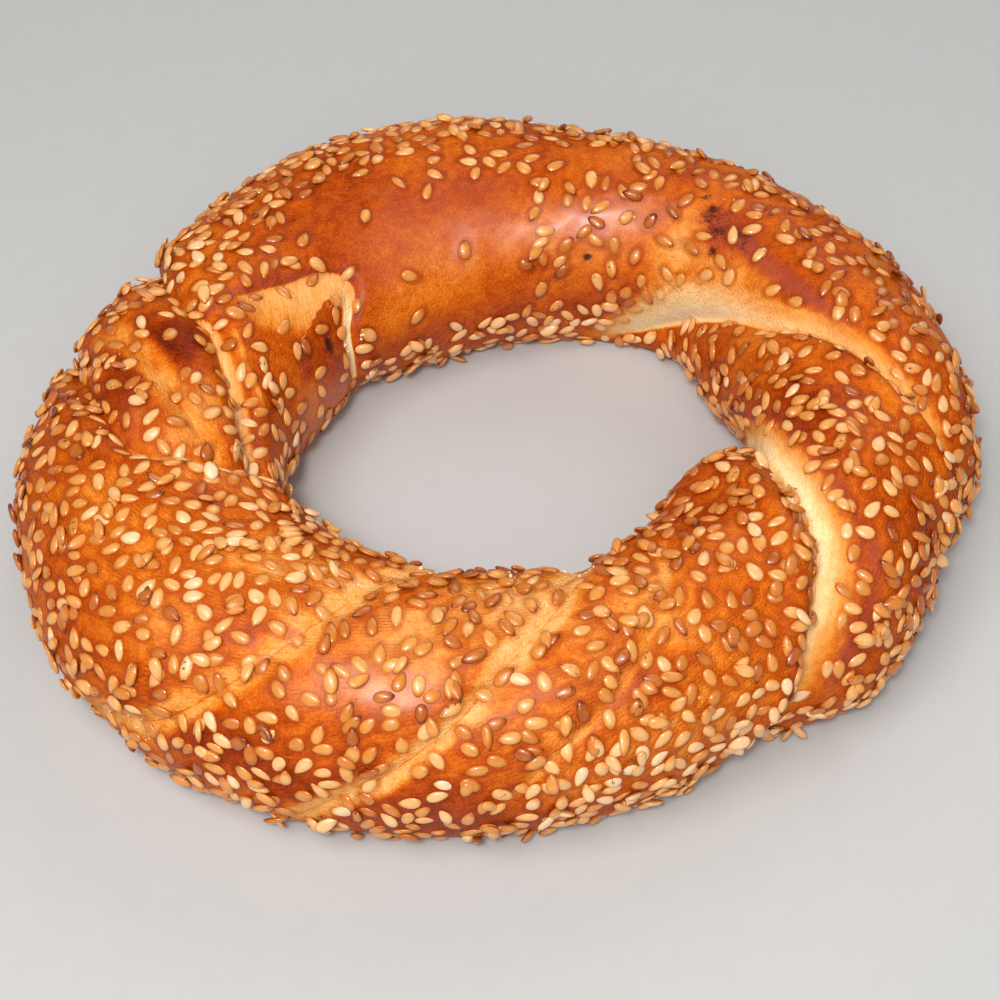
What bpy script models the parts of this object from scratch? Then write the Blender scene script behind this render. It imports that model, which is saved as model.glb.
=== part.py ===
"""Simit: a baked ring of loosely twisted sesame bread dough, as one closed solid.

The ring lies on its flat underside with +Z up and its origin at the middle of that
underside. A point of the crust is named by two angles: the angle round the ring, from +X
towards +Y, and the angle round the strand, from its outer side (0) over the top (90) to the
side that faces the hole (180). Lengths are metres, and the angles in the tables are degrees.
"""
import math
from typing import NamedTuple

import bpy
import numpy as np


class Wave(NamedTuple):
    """A slow swing round the ring: how many crests, how high, and where one crest lies."""

    crests: int
    height: float
    crest_angle: float


class Seam(NamedTuple):
    """A crease between two laps of dough.

    The path runs over the strand through pairs of (ring angle, strand angle). The near side
    is the one on the right hand of the path, where the lap that lies on top ends steeply, and
    the far side is where the torn dough slopes up more gently.
    """

    path: tuple
    depth: float
    near_width: float
    far_width: float
    near_swell: float
    far_swell: float


class Swell(NamedTuple):
    """A round rise (or, with a negative height, a hollow) in the crust."""

    ring_angle: float
    strand_angle: float
    reach_along: float
    reach_across: float
    height: float


# Driving dimensions
RING_RADIUS = 0.0500         # centre line of the strand
STRAND_HALF_WIDTH = 0.0186
STRAND_HEIGHT = 0.0320
WIDEST_LEVEL = 0.46          # level where the strand is widest, as a share of its height
UNDERSIDE_DEPTH = 0.62       # depth of the round strand below that level before the tray flattens it
BASE_ROUNDING = 0.0012       # how softly the flanks turn into the flat underside

# Mesh of the ring: it leans with the twist, most on the left, so that its edges follow the seams
RING_SEGMENTS = 148
STRAND_SEGMENTS = 32
TWIST_LEAN = 28.8
TWIST_OFFSET = 7.2
LEFT_LEAN = 14.0
LEFT_LEAN_ANGLE = 186.0
LEFT_LEAN_SHARPNESS = 4

# How the hand-rolled strand strays from a true ring
RADIUS_WAVES = (Wave(2, 0.0032, 34), Wave(3, 0.0007, -4), Wave(4, 0.0007, 22))
WIDTH_WAVES = (Wave(1, 0.0013, 183), Wave(2, 0.0006, 135), Wave(3, 0.0018, -13), Wave(4, 0.0004, 17))
HEIGHT_WAVES = (Wave(1, 0.0004, 222), Wave(2, 0.0008, 47))

# The creases of the twist, each from the hole over the top to the outer side
SEAMS = (
    # right end of the front lap, the deepest tear
    Seam(((386, 232), (367, 200), (354, 168), (345, 142), (334, 108), (327, 79), (323, 62), (318, 45),
          (313.5, 27), (310, 5), (306, -22), (300, -50), (293, -80)), 0.0052, 0.0019, 0.0036, 0.0012, 0.0008),
    # where the right lap runs under the long back lap
    Seam(((432, 232), (412, 205), (401, 182), (390, 160), (380, 140), (372, 114), (366.5, 97), (361, 81),
          (356.5, 64), (353, 48), (350, 35), (347.5, 18), (345, 0), (339, -28), (331, -60)),
         0.0042, 0.0019, 0.0034, 0.0009, 0.0006),
    # left end of the front lap, which lies over the left lap
    Seam(((160, -20), (170, 15), (181, 48), (190, 72), (197, 83), (201, 95), (204, 112), (206.5, 126),
          (209, 140), (214, 158), (223, 190), (235, 225)), 0.0038, 0.0018, 0.0026, 0.0008, 0.0004),
    # between the left lap and the end of the strand
    Seam(((224, 178), (207, 148), (194, 143), (185, 138), (178, 128), (172, 116), (168, 106), (165, 90),
          (160, 68), (154, 40), (147, 0), (140, -40)), 0.0034, 0.0020, 0.0022, 0.0005, 0.0005),
    # lip of the back lap over the end of the strand
    Seam(((138, 222), (140, 202), (142, 186), (142.5, 172), (141.5, 160), (138, 150), (135, 141), (136, 131),
          (141, 124), (148, 120), (155, 112), (163, 104)), 0.0024, 0.0015, 0.0040, 0.0004, 0.0),
    # the same crease coming up again low on the outer side of the back lap
    Seam(((54, 226), (64, 256), (75, 288), (88, 320), (101, 345), (114, 361), (127, 369), (140, 372)),
         0.0026, 0.0022, 0.0028, 0.0005, 0.0003),
    # shallow stretch lines across the front lap
    Seam(((266, 175), (261, 155), (254, 132), (249, 108), (246, 86), (242, 64), (238, 48), (234, 30),
          (230, 8), (224, -10), (214, -45)), 0.0015, 0.0020, 0.0024, 0.0, 0.0),
    Seam(((296, 165), (290, 142), (284, 120), (279, 97), (273, 74), (268, 55), (265, 42), (260, 26),
          (255, 6), (250, -14), (242, -45)), 0.0015, 0.0020, 0.0022, 0.0, 0.0),
    Seam(((308, 118), (300, 95), (292, 69), (286, 54), (281, 36), (275, 18), (268, -10)),
         0.0010, 0.0018, 0.0018, 0.0, 0.0),
    # stretch line across the left lap
    Seam(((212, 122), (203, 118), (194, 111), (187, 102), (181, 91), (176, 75), (170, 50)),
         0.0010, 0.0018, 0.0018, 0.0, 0.0),
)

# Places where the laps bulge past the even strand or are pinched in
SWELLS = (
    Swell(29, 205, 0.012, 0.010, 0.0030),
    Swell(50, 207, 0.014, 0.010, -0.0014),
    Swell(80, 50, 0.012, 0.010, -0.0012),
    Swell(134, 215, 0.006, 0.010, -0.0014),
    Swell(162, 205, 0.012, 0.010, 0.0012),
    Swell(171, 12, 0.006, 0.012, 0.0014),
    Swell(187, 12, 0.010, 0.012, 0.0012),
    Swell(206, 165, 0.005, 0.008, -0.0020),
    Swell(286, 145, 0.004, 0.006, -0.0014),
    Swell(302, -30, 0.008, 0.012, -0.0022),
    Swell(325, -25, 0.011, 0.012, 0.0024),
    Swell(329, 158, 0.006, 0.008, 0.0018),
    Swell(341, -4, 0.005, 0.010, -0.0014),
    Swell(344, 160, 0.005, 0.008, -0.0014),
)

# How a seam is cut into the dough
SEAM_SAMPLES = 12            # curve points between two points of a seam's path
SEAM_FADE = 0.12             # share of the path over which a seam dies out at each end
CREASE_SOFTNESS = 0.25       # rounding of the crease's floor, in seam widths
SWELL_OFFSET = 2.6           # distance from the crease to the crest of the swell, in seam widths
SWELL_SPREAD = 1.4           # reach of that swell, in seam widths
MERGE_POWER = 3.0            # how sharply the deeper of two meeting seams wins
PROVING_STEPS = 1            # smoothing passes that round off the risen dough

CRUST_COLOR = (0.42, 0.13, 0.02, 1.0)
CRUST_ROUGHNESS = 0.45


def turn_between(angle, start):
    """Return the signed turn in radians from the start angle to each angle, the short way."""
    return (angle - start + math.pi) % (2 * math.pi) - math.pi


def swing(waves, ring):
    """Return the sum of the waves at the given ring angles in radians."""
    total = np.zeros_like(ring)
    for wave in waves:
        total += wave.height * np.cos(wave.crests * (ring - math.radians(wave.crest_angle)))
    return total


def smooth_path(points):
    """Return the points of a Catmull-Rom curve through the given angle pairs, in radians."""
    knots = np.radians(np.array(points, dtype=float))
    knots = np.vstack([2 * knots[0] - knots[1], knots, 2 * knots[-1] - knots[-2]])
    steps = np.linspace(0.0, 1.0, SEAM_SAMPLES, endpoint=False)[:, None]
    curve = []
    for before, start, end, after in zip(knots, knots[1:], knots[2:], knots[3:]):
        curve.append(0.5 * (2 * start + (end - before) * steps
                            + (2 * before - 5 * start + 4 * end - after) * steps ** 2
                            + (3 * start - before - 3 * end + after) * steps ** 3))
    curve.append(knots[-2][None, :])
    return np.vstack(curve)


def distance_to_path(path, ring, strand, along, around):
    """Return each point's signed distance to a path and how far along it the nearest point is.

    `along` and `around` are the lengths of one radian round the ring and round the strand.
    """
    nearest = np.full(ring.shape, np.inf)
    signed = np.zeros(ring.shape)
    share = np.zeros(ring.shape)
    count = len(path) - 1
    for index, (start, end) in enumerate(zip(path[:-1], path[1:])):
        offset_x = turn_between(ring, start[0]) * along
        offset_y = turn_between(strand, start[1]) * around
        step_x, step_y = (end[0] - start[0]) * along, (end[1] - start[1]) * around
        place = (offset_x * step_x + offset_y * step_y) / (step_x ** 2 + step_y ** 2)
        place = np.clip(place, 0.0, 1.0)
        gap_x, gap_y = offset_x - place * step_x, offset_y - place * step_y
        gap = np.hypot(gap_x, gap_y)
        side = np.sign(step_x * gap_y - step_y * gap_x)
        closer = gap < nearest
        nearest = np.where(closer, gap, nearest)
        signed = np.where(closer, gap * side, signed)
        share = np.where(closer, (index + place) / count, share)
    return signed, share


def seam_relief(seam, ring, strand, along, around):
    """Return the depth of one seam's crease and the height of the swells beside it."""
    signed, share = distance_to_path(smooth_path(seam.path), ring, strand, along, around)
    fade = np.clip(share / SEAM_FADE, 0.0, 1.0) * np.clip((1.0 - share) / SEAM_FADE, 0.0, 1.0)
    fade = fade * fade * (3.0 - 2.0 * fade)
    width = np.where(signed < 0.0, seam.near_width, seam.far_width)
    swell = np.where(signed < 0.0, seam.near_swell, seam.far_swell)
    reach = np.abs(signed) / width
    crease = np.exp(CREASE_SOFTNESS - np.sqrt(reach ** 2 + CREASE_SOFTNESS ** 2))
    shoulder = np.exp(-((reach - SWELL_OFFSET) / SWELL_SPREAD) ** 2)
    return seam.depth * crease * fade, swell * shoulder * fade


def swell_relief(swell, ring, strand, along, around):
    """Return the height that one swell adds to the crust."""
    offset_x = turn_between(ring, math.radians(swell.ring_angle)) * along
    offset_y = turn_between(strand, math.radians(swell.strand_angle)) * around
    reach = (offset_x / swell.reach_along) ** 2 + (offset_y / swell.reach_across) ** 2
    return swell.height * np.exp(-reach)


def rest_flat(level):
    """Return the heights with everything that would lie below the tray pressed flat onto it."""
    blend = (level + BASE_ROUNDING) ** 2 / (4.0 * BASE_ROUNDING)
    return np.where(level > BASE_ROUNDING, level, np.where(level < -BASE_ROUNDING, 0.0, blend))


def dough_surface(ring, strand):
    """Return the crust's points for arrays of ring and strand angles in radians."""
    radius = RING_RADIUS + swing(RADIUS_WAVES, ring)
    half_width = STRAND_HALF_WIDTH + swing(WIDTH_WAVES, ring)
    height = STRAND_HEIGHT + swing(HEIGHT_WAVES, ring)
    along = radius + half_width * np.cos(strand)
    depths = np.zeros_like(ring)
    relief = np.zeros_like(ring)
    for seam in SEAMS:
        crease, shoulder = seam_relief(seam, ring, strand, along, half_width)
        depths += crease ** MERGE_POWER
        relief += shoulder
    relief -= depths ** (1.0 / MERGE_POWER)
    for swell in SWELLS:
        relief += swell_relief(swell, ring, strand, along, half_width)
    core = WIDEST_LEVEL * height
    rise = np.where(np.sin(strand) > 0.0, height - core, UNDERSIDE_DEPTH * height) + relief
    reach = radius + (half_width + relief) * np.cos(strand)
    level = rest_flat(core + rise * np.sin(strand))
    return np.stack([reach * np.cos(ring), reach * np.sin(ring), level], axis=-1)


def crust_material():
    """Return the browned crust's material."""
    material = bpy.data.materials.new("crust")
    material.use_nodes = True
    shader = material.node_tree.nodes["Principled BSDF"]
    shader.inputs["Base Color"].default_value = CRUST_COLOR
    shader.inputs["Roughness"].default_value = CRUST_ROUGHNESS
    shader.inputs["Metallic"].default_value = 0.0
    return material


def add_ring(collection):
    """Shape a torus into the twisted ring of dough and return its object."""
    bpy.ops.mesh.primitive_torus_add(major_segments=RING_SEGMENTS, minor_segments=STRAND_SEGMENTS,
                                     major_radius=RING_RADIUS, minor_radius=STRAND_HALF_WIDTH)
    simit = bpy.context.object
    simit.name = simit.data.name = "simit_ring"
    for owner in list(simit.users_collection):
        owner.objects.unlink(simit)
    collection.objects.link(simit)

    points = np.empty(3 * len(simit.data.vertices))
    simit.data.vertices.foreach_get("co", points)
    points = points.reshape(-1, 3)
    strand = np.arctan2(points[:, 2], np.hypot(points[:, 0], points[:, 1]) - RING_RADIUS)
    ring = np.arctan2(points[:, 1], points[:, 0])
    left = (0.5 + 0.5 * np.cos(ring - math.radians(LEFT_LEAN_ANGLE))) ** LEFT_LEAN_SHARPNESS
    ring += np.radians(TWIST_OFFSET - (TWIST_LEAN + LEFT_LEAN * left) * np.cos(strand))
    crust = dough_surface(ring, strand)
    middle = (crust.min(axis=0) + crust.max(axis=0)) / 2.0
    crust[:, :2] -= middle[:2]
    simit.data.vertices.foreach_set("co", crust.ravel())
    simit.data.update()
    simit.data.materials.append(crust_material())
    simit.data.shade_smooth()
    proving = simit.modifiers.new("proving", "SMOOTH")
    proving.factor = 0.5
    proving.iterations = PROVING_STEPS
    return simit


def main():
    """Clear the scene and build the simit."""
    for old in list(bpy.data.objects):
        bpy.data.objects.remove(old, do_unlink=True)
    collection = bpy.data.collections.new("simit")
    bpy.context.scene.collection.children.link(collection)
    add_ring(collection)


if __name__ == "__main__":
    main()
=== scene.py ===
"""Simit: the looks of a baked ring of loosely twisted sesame bread dough.

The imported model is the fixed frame. This script lays the browned crust over it, with the
creases and torn dough of the twist, sets sesame seeds and crumbs into that crust, and stands
the lights and the camera round it.

Lengths are metres and +Z is up. A place on the crust is named by two angles in degrees: the
angle round the ring, from +X towards +Y, and the angle round the strand, from its outer side
(0) over the top (90) to the side that faces the hole (180).
"""
import logging
import math
from dataclasses import dataclass, field
from enum import Enum
from itertools import product

import bpy
import numpy as np
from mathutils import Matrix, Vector, kdtree


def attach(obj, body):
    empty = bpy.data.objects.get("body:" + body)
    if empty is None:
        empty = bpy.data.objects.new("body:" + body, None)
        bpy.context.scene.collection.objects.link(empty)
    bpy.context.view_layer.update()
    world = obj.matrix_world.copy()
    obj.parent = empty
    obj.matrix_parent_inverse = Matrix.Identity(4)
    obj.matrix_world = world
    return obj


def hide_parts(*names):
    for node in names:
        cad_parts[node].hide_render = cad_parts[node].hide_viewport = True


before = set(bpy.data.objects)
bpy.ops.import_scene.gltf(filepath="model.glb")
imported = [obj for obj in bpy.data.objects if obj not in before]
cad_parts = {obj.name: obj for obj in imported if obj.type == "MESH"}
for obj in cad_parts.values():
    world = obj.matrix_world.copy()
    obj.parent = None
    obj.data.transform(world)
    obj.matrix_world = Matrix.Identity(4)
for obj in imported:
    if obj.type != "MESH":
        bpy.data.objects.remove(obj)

LOG = logging.getLogger("simit")
BODY = "root"
CAD_RING = "simit_ring"
BAKE_MAP = "OFBake"
MM = 0.001
PER_SQUARE_MM = 1e6
TRAY_GAP = 0.00003

# Where the middle of the strand's ring lies in the frame
RING_CENTRE = np.array([0.00024, -0.00115, 0.0])

# Where torn dough fades out, in its widths beyond the crease and in near edges before it
TEAR_END = (1.30, 0.78)
TEAR_START = (-1.0, -0.25)


# ---- Angles, paths and noise

def turn_between(angle: np.ndarray, start: float) -> np.ndarray:
    """Return the signed turn in radians from the start angle to each angle, the short way."""
    return (angle - start + math.pi) % (2 * math.pi) - math.pi


def ease(low: float, high: float, value: np.ndarray) -> np.ndarray:
    """Return 0 below low, 1 above high (or the reverse) and a smooth step between them."""
    share = np.clip((value - low) / (high - low), 0.0, 1.0)
    return share * share * (3.0 - 2.0 * share)


def shade(red: float, green: float, blue: float) -> tuple[float, float, float, float]:
    """Turn a colour as the eye sees it into the linear light of a shader.

    Args:
        red: How red it looks, from 0 to 255.
        green: How green it looks.
        blue: How blue it looks.

    Returns:
        The colour in linear light, with full cover.
    """
    def linear(level: float) -> float:
        """Return one channel in linear light."""
        level /= 255.0
        return level / 12.92 if level <= 0.04045 else ((level + 0.055) / 1.055) ** 2.4
    return (linear(red), linear(green), linear(blue), 1.0)


@dataclass(frozen=True)
class Lumps:
    """A smooth random field in space that is the same on every run."""

    cell: float
    seed: int
    start: float = 512.0
    primes: tuple[int, ...] = (73856093, 19349663, 83492791, 49979687, 1274126177)

    def _corner(self, x: np.ndarray, y: np.ndarray, z: np.ndarray) -> np.ndarray:
        """Look up the random value of each lattice corner.

        Args:
            x: The corner's number along x.
            y: The same along y.
            z: The same along z.

        Returns:
            The values.
        """
        prime_x, prime_y, prime_z, prime_seed, prime_last = self.primes
        mixed = (x * prime_x) ^ (y * prime_y) ^ (z * prime_z) ^ (self.seed * prime_seed)
        mixed = ((mixed ^ (mixed >> 13)) & 0xFFFFFFF) * prime_last
        return (((mixed ^ (mixed >> 16)) >> 3) & 0xFFFF) / 0xFFFF

    def at(self, points: np.ndarray) -> np.ndarray:
        """Return the field's value at each point.

        Args:
            points: Positions in metres, with x, y and z in the last axis.

        Returns:
            Values from -1 to 1.
        """
        scaled = points / self.cell + self.start
        base = np.floor(scaled).astype(np.int64)
        part = scaled - base
        part = part * part * (3.0 - 2.0 * part)
        total = np.zeros(points.shape[:-1])
        for step in product((0, 1), repeat=3):
            weight = np.ones(points.shape[:-1])
            for axis, ahead in enumerate(step):
                weight = weight * (part[..., axis] if ahead else 1.0 - part[..., axis])
            total += weight * self._corner(*(base[..., axis] + step[axis] for axis in range(3)))
        return 2.0 * total - 1.0


@dataclass(frozen=True)
class Wave:
    """A slow swing round the ring: how many crests, how high, and where one crest lies."""

    crests: int
    height: float
    crest_angle: float

    def at(self, ring: np.ndarray) -> np.ndarray:
        """Return the wave's height at ring angles in radians."""
        return self.height * np.cos(self.crests * (ring - math.radians(self.crest_angle)))


@dataclass(frozen=True)
class Path:
    """A smooth line over the crust through pairs of ring angle and strand angle."""

    knots: tuple[tuple[float, float], ...]
    samples: int = 5

    def curve(self) -> np.ndarray:
        """Draw a Catmull-Rom curve through the knots.

        Returns:
            The points in radians, from the first knot to the last.
        """
        knots = np.radians(np.array(self.knots, dtype=float))
        knots = np.vstack([2 * knots[0] - knots[1], knots, 2 * knots[-1] - knots[-2]])
        steps = np.linspace(0.0, 1.0, self.samples, endpoint=False)[:, None]
        curve = []
        for before, start, end, after in zip(knots, knots[1:], knots[2:], knots[3:]):
            curve.append(0.5 * (2 * start + (end - before) * steps
                                + (2 * before - 5 * start + 4 * end - after) * steps ** 2
                                + (3 * start - before - 3 * end + after) * steps ** 3))
        curve.append(knots[-2][None, :])
        return np.vstack(curve)

    def measure(self, lie: "Lie") -> tuple[np.ndarray, np.ndarray]:
        """Measure how the points of the crust lie to the path.

        Args:
            lie: The angles and the lengths of a radian at each point.

        Returns:
            The signed distance in metres, negative on the right hand of the path, and the
            share of the path at which each point's nearest place lies.
        """
        nearest = np.full(lie.ring.shape, np.inf)
        signed = np.zeros(lie.ring.shape)
        share = np.zeros(lie.ring.shape)
        curve = self.curve()
        count = len(curve) - 1
        for index, (start, end) in enumerate(zip(curve[:-1], curve[1:])):
            offset_x = turn_between(lie.ring, start[0]) * lie.along
            offset_y = turn_between(lie.strand, start[1]) * lie.around
            step_x, step_y = (end[0] - start[0]) * lie.along, (end[1] - start[1]) * lie.around
            place = (offset_x * step_x + offset_y * step_y) / (step_x ** 2 + step_y ** 2)
            place = np.clip(place, 0.0, 1.0)
            gap_x, gap_y = offset_x - place * step_x, offset_y - place * step_y
            gap = np.hypot(gap_x, gap_y)
            side = np.sign(step_x * gap_y - step_y * gap_x)
            closer = gap < nearest
            nearest = np.where(closer, gap, nearest)
            signed = np.where(closer, gap * side, signed)
            share = np.where(closer, (index + place) / count, share)
        return signed, share


@dataclass(frozen=True)
class Lie:
    """Where points lie on the strand: their angles, and the length of a radian each way."""

    ring: np.ndarray
    strand: np.ndarray
    along: np.ndarray
    around: np.ndarray

    def offset(self, ring_angle: float, strand_angle: float) -> tuple[np.ndarray, np.ndarray]:
        """Return how far each point is from a place, along the ring and round the strand."""
        return (turn_between(self.ring, math.radians(ring_angle)) * self.along,
                turn_between(self.strand, math.radians(strand_angle)) * self.around)


# ---- The dough's form

@dataclass(frozen=True)
class Tear:
    """Torn dough that shows beside a seam: its width in mm and its browning along the seam.

    It lies on the seam's far side, or on the near side if it is flipped. Its palest strip has the
    given tones, and it is browner by a step of painted crease shade in the crease and by another
    where skin begins.
    """

    widths: tuple[float, ...]
    tones: tuple[float, ...]
    near_edge: float = 0.5
    # How much browner the crease floor is painted, as crease shade.
    crease_shade_step: float = 0.14
    outer_step: float = 0.36
    rim_brown: float = 0.06
    rim_rose: float = 0.85
    rough: float = 1.0
    flip: bool = False


@dataclass(frozen=True)
class Band:
    """A stretched, paler band on both sides of a shallow seam, its half widths in mm."""

    near: float
    far: float
    browning: float
    amount: float = 0.9


@dataclass(frozen=True)
class Seam:
    """A crease between two laps of dough.

    The near side, on the right hand of the path, is where the lap that lies on top ends
    steeply. On the far side the torn dough slopes up more gently.
    """

    path: Path
    depth: float
    near_width: float
    far_width: float
    near_swell: float = 0.0
    far_swell: float = 0.0
    tear: Tear | None = None
    band: Band | None = None
    line: float = 0.0


@dataclass(frozen=True)
class Swell:
    """A round rise (or, with a negative height, a hollow) in the crust."""

    ring_angle: float
    strand_angle: float
    reach_along: float
    reach_across: float
    height: float

    def at(self, lie: Lie) -> np.ndarray:
        """Work out the height that the swell adds at each point.

        Args:
            lie: Where the points lie on the strand.

        Returns:
            The heights in metres.
        """
        along, across = lie.offset(self.ring_angle, self.strand_angle)
        return self.height * np.exp(-(along / self.reach_along) ** 2
                                    - (across / self.reach_across) ** 2)


SEAMS = {
    "right end of the front lap": Seam(
        Path(((386, 232), (367, 200), (354, 168), (345, 142), (334, 108), (327, 79), (323, 62),
              (318, 45), (313.5, 27), (310, 5), (306, -22), (300, -50), (293, -80))),
        0.0038, 0.0017, 0.0042, 0.0012, 0.0008,
        tear=Tear((1.0, 2.2, 3.4, 4.6, 4.6, 4.6, 4.8, 5.0, 5.4, 5.4, 4.2, 2.6, 1.2),
                  (0.26, 0.16, 0.08, 0.06, 0.07, 0.08, 0.09, 0.12, 0.20, 0.28, 0.34, 0.36,
                   0.40))),
    "right lap under the back lap": Seam(
        Path(((432, 232), (412, 205), (401, 182), (390, 160), (380, 140), (372, 114),
              (366.5, 97), (361, 81), (356.5, 64), (353, 48), (350, 35), (347.5, 18),
              (345, 0), (339, -28), (331, -60))),
        0.0036, 0.0014, 0.0034, 0.0009, 0.0006,
        # Where this tear starts its tones are the palest, painted light that lifts the shade in
        # the fold there.
        tear=Tear((2.6, 6.4, 7.2, 5.0, 4.0, 3.2, 3.0, 2.8, 2.8, 2.6, 2.4, 2.0, 1.4, 1.0, 0.5),
                  (0.04, 0.00, 0.00, 0.08, 0.18, 0.24, 0.28, 0.26, 0.24, 0.26, 0.30, 0.34,
                   0.38, 0.40, 0.42),
                  outer_step=0.20, rim_rose=0.16, rim_brown=0.0)),
    "left end of the front lap": Seam(
        Path(((160, -20), (170, 15), (181, 48), (190, 72), (197, 83), (201, 95), (204, 112),
              (206.5, 126), (209, 140), (214, 158), (223, 190), (235, 225))),
        0.0032, 0.0012, 0.0026, 0.0008, 0.0004,
        tear=Tear((0.0, 0.0, 0.0, 0.0, 0.4, 1.0, 1.6, 1.6, 1.2, 0.8, 0.5, 0.0),
                  (0.24,), rim_rose=0.20, rim_brown=0.04)),
    "left lap over the strand's end": Seam(
        Path(((224, 178), (207, 148), (194, 143), (185, 138), (178, 128), (172, 116),
              (168, 106), (165, 90), (160, 68), (154, 40), (147, 0), (140, -40))),
        0.0030, 0.0016, 0.0020, 0.0005, 0.0005,
        tear=Tear((0.5, 1.2, 1.5, 1.5, 1.4, 1.1, 0.8, 0.4, 0.2, 0.0, 0.0, 0.0),
                  (0.20, 0.20, 0.22, 0.24, 0.26, 0.30), outer_step=0.16, rim_rose=0.0,
                  rim_brown=0.0, rough=0.6, flip=True)),
    "lip of the back lap over the strand's end": Seam(
        Path(((138, 222), (140, 202), (142, 186), (142.5, 172), (141.5, 160), (138, 150),
              (135, 141), (136, 131), (141, 124), (148, 120), (155, 112), (163, 104))),
        0.0013, 0.0007, 0.0032, 0.0001, 0.0,
        tear=Tear((0.0, 0.5, 1.0, 1.2, 1.2, 1.6, 5.5, 8.0, 8.5, 8.5, 7.5, 4.0),
                  (0.20, 0.10, 0.04, 0.00, 0.00, 0.06, 0.26, 0.28, 0.29, 0.31, 0.34, 0.38),
                  near_edge=0.3, crease_shade_step=0.06, outer_step=0.10, rim_rose=0.0, rim_brown=0.0,
                  rough=0.25)),
    "the same crease low on the back lap": Seam(
        Path(((54, 226), (64, 256), (75, 288), (88, 320), (101, 345), (114, 361), (127, 369),
              (140, 372))),
        0.0026, 0.0018, 0.0026, 0.0005, 0.0003,
        tear=Tear((0.0, 0.8, 1.6, 2.0, 1.8, 1.4, 0.8, 0.0), (0.16,))),
    "left stretch line of the front lap": Seam(
        Path(((266, 175), (260, 155), (253, 132), (248, 110), (245, 88), (241, 64), (238, 47),
              (234, 27), (229, 6), (222, -10), (212, -40))),
        0.0013, 0.0016, 0.0024, band=Band(3.0, 2.4, 0.31), line=1.0),
    "right stretch line of the front lap": Seam(
        Path(((296, 165), (290, 142), (284, 120), (279, 95), (273, 76), (268, 57), (264, 40),
              (259, 22), (255, 8), (250, -8), (242, -40))),
        0.0013, 0.0016, 0.0022, band=Band(2.3, 2.2, 0.24), line=0.9),
    "thin stretch line of the front lap": Seam(
        Path(((304, 118), (298, 92), (292, 69), (287, 54), (281, 36), (275, 18), (268, -10))),
        0.0008, 0.0012, 0.0013, band=Band(0.8, 0.7, 0.34, 0.8), line=0.3),
    "stretch line of the left lap": Seam(
        Path(((212, 122), (203, 118), (194, 111), (187, 102), (181, 91), (176, 75), (170, 50))),
        0.0010, 0.0016, 0.0018, band=Band(2.4, 2.8, 0.38, 0.8), line=0.5),
}

SWELLS = (
    Swell(29, 205, 0.012, 0.010, 0.0030),
    Swell(50, 207, 0.014, 0.010, -0.0014),
    Swell(80, 50, 0.012, 0.010, -0.0012),
    Swell(134, 215, 0.006, 0.010, -0.0014),
    Swell(162, 205, 0.012, 0.010, 0.0012),
    Swell(171, 12, 0.006, 0.012, 0.0014),
    Swell(187, 12, 0.010, 0.012, 0.0012),
    Swell(206, 165, 0.005, 0.008, -0.0020),
    Swell(286, 145, 0.004, 0.006, -0.0014),
    Swell(302, -30, 0.008, 0.012, -0.0022),
    Swell(325, -25, 0.011, 0.012, 0.0024),
    Swell(329, 158, 0.006, 0.008, 0.0018),
    Swell(341, -4, 0.005, 0.010, -0.0014),
    Swell(344, 160, 0.005, 0.008, -0.0014),
)


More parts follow.
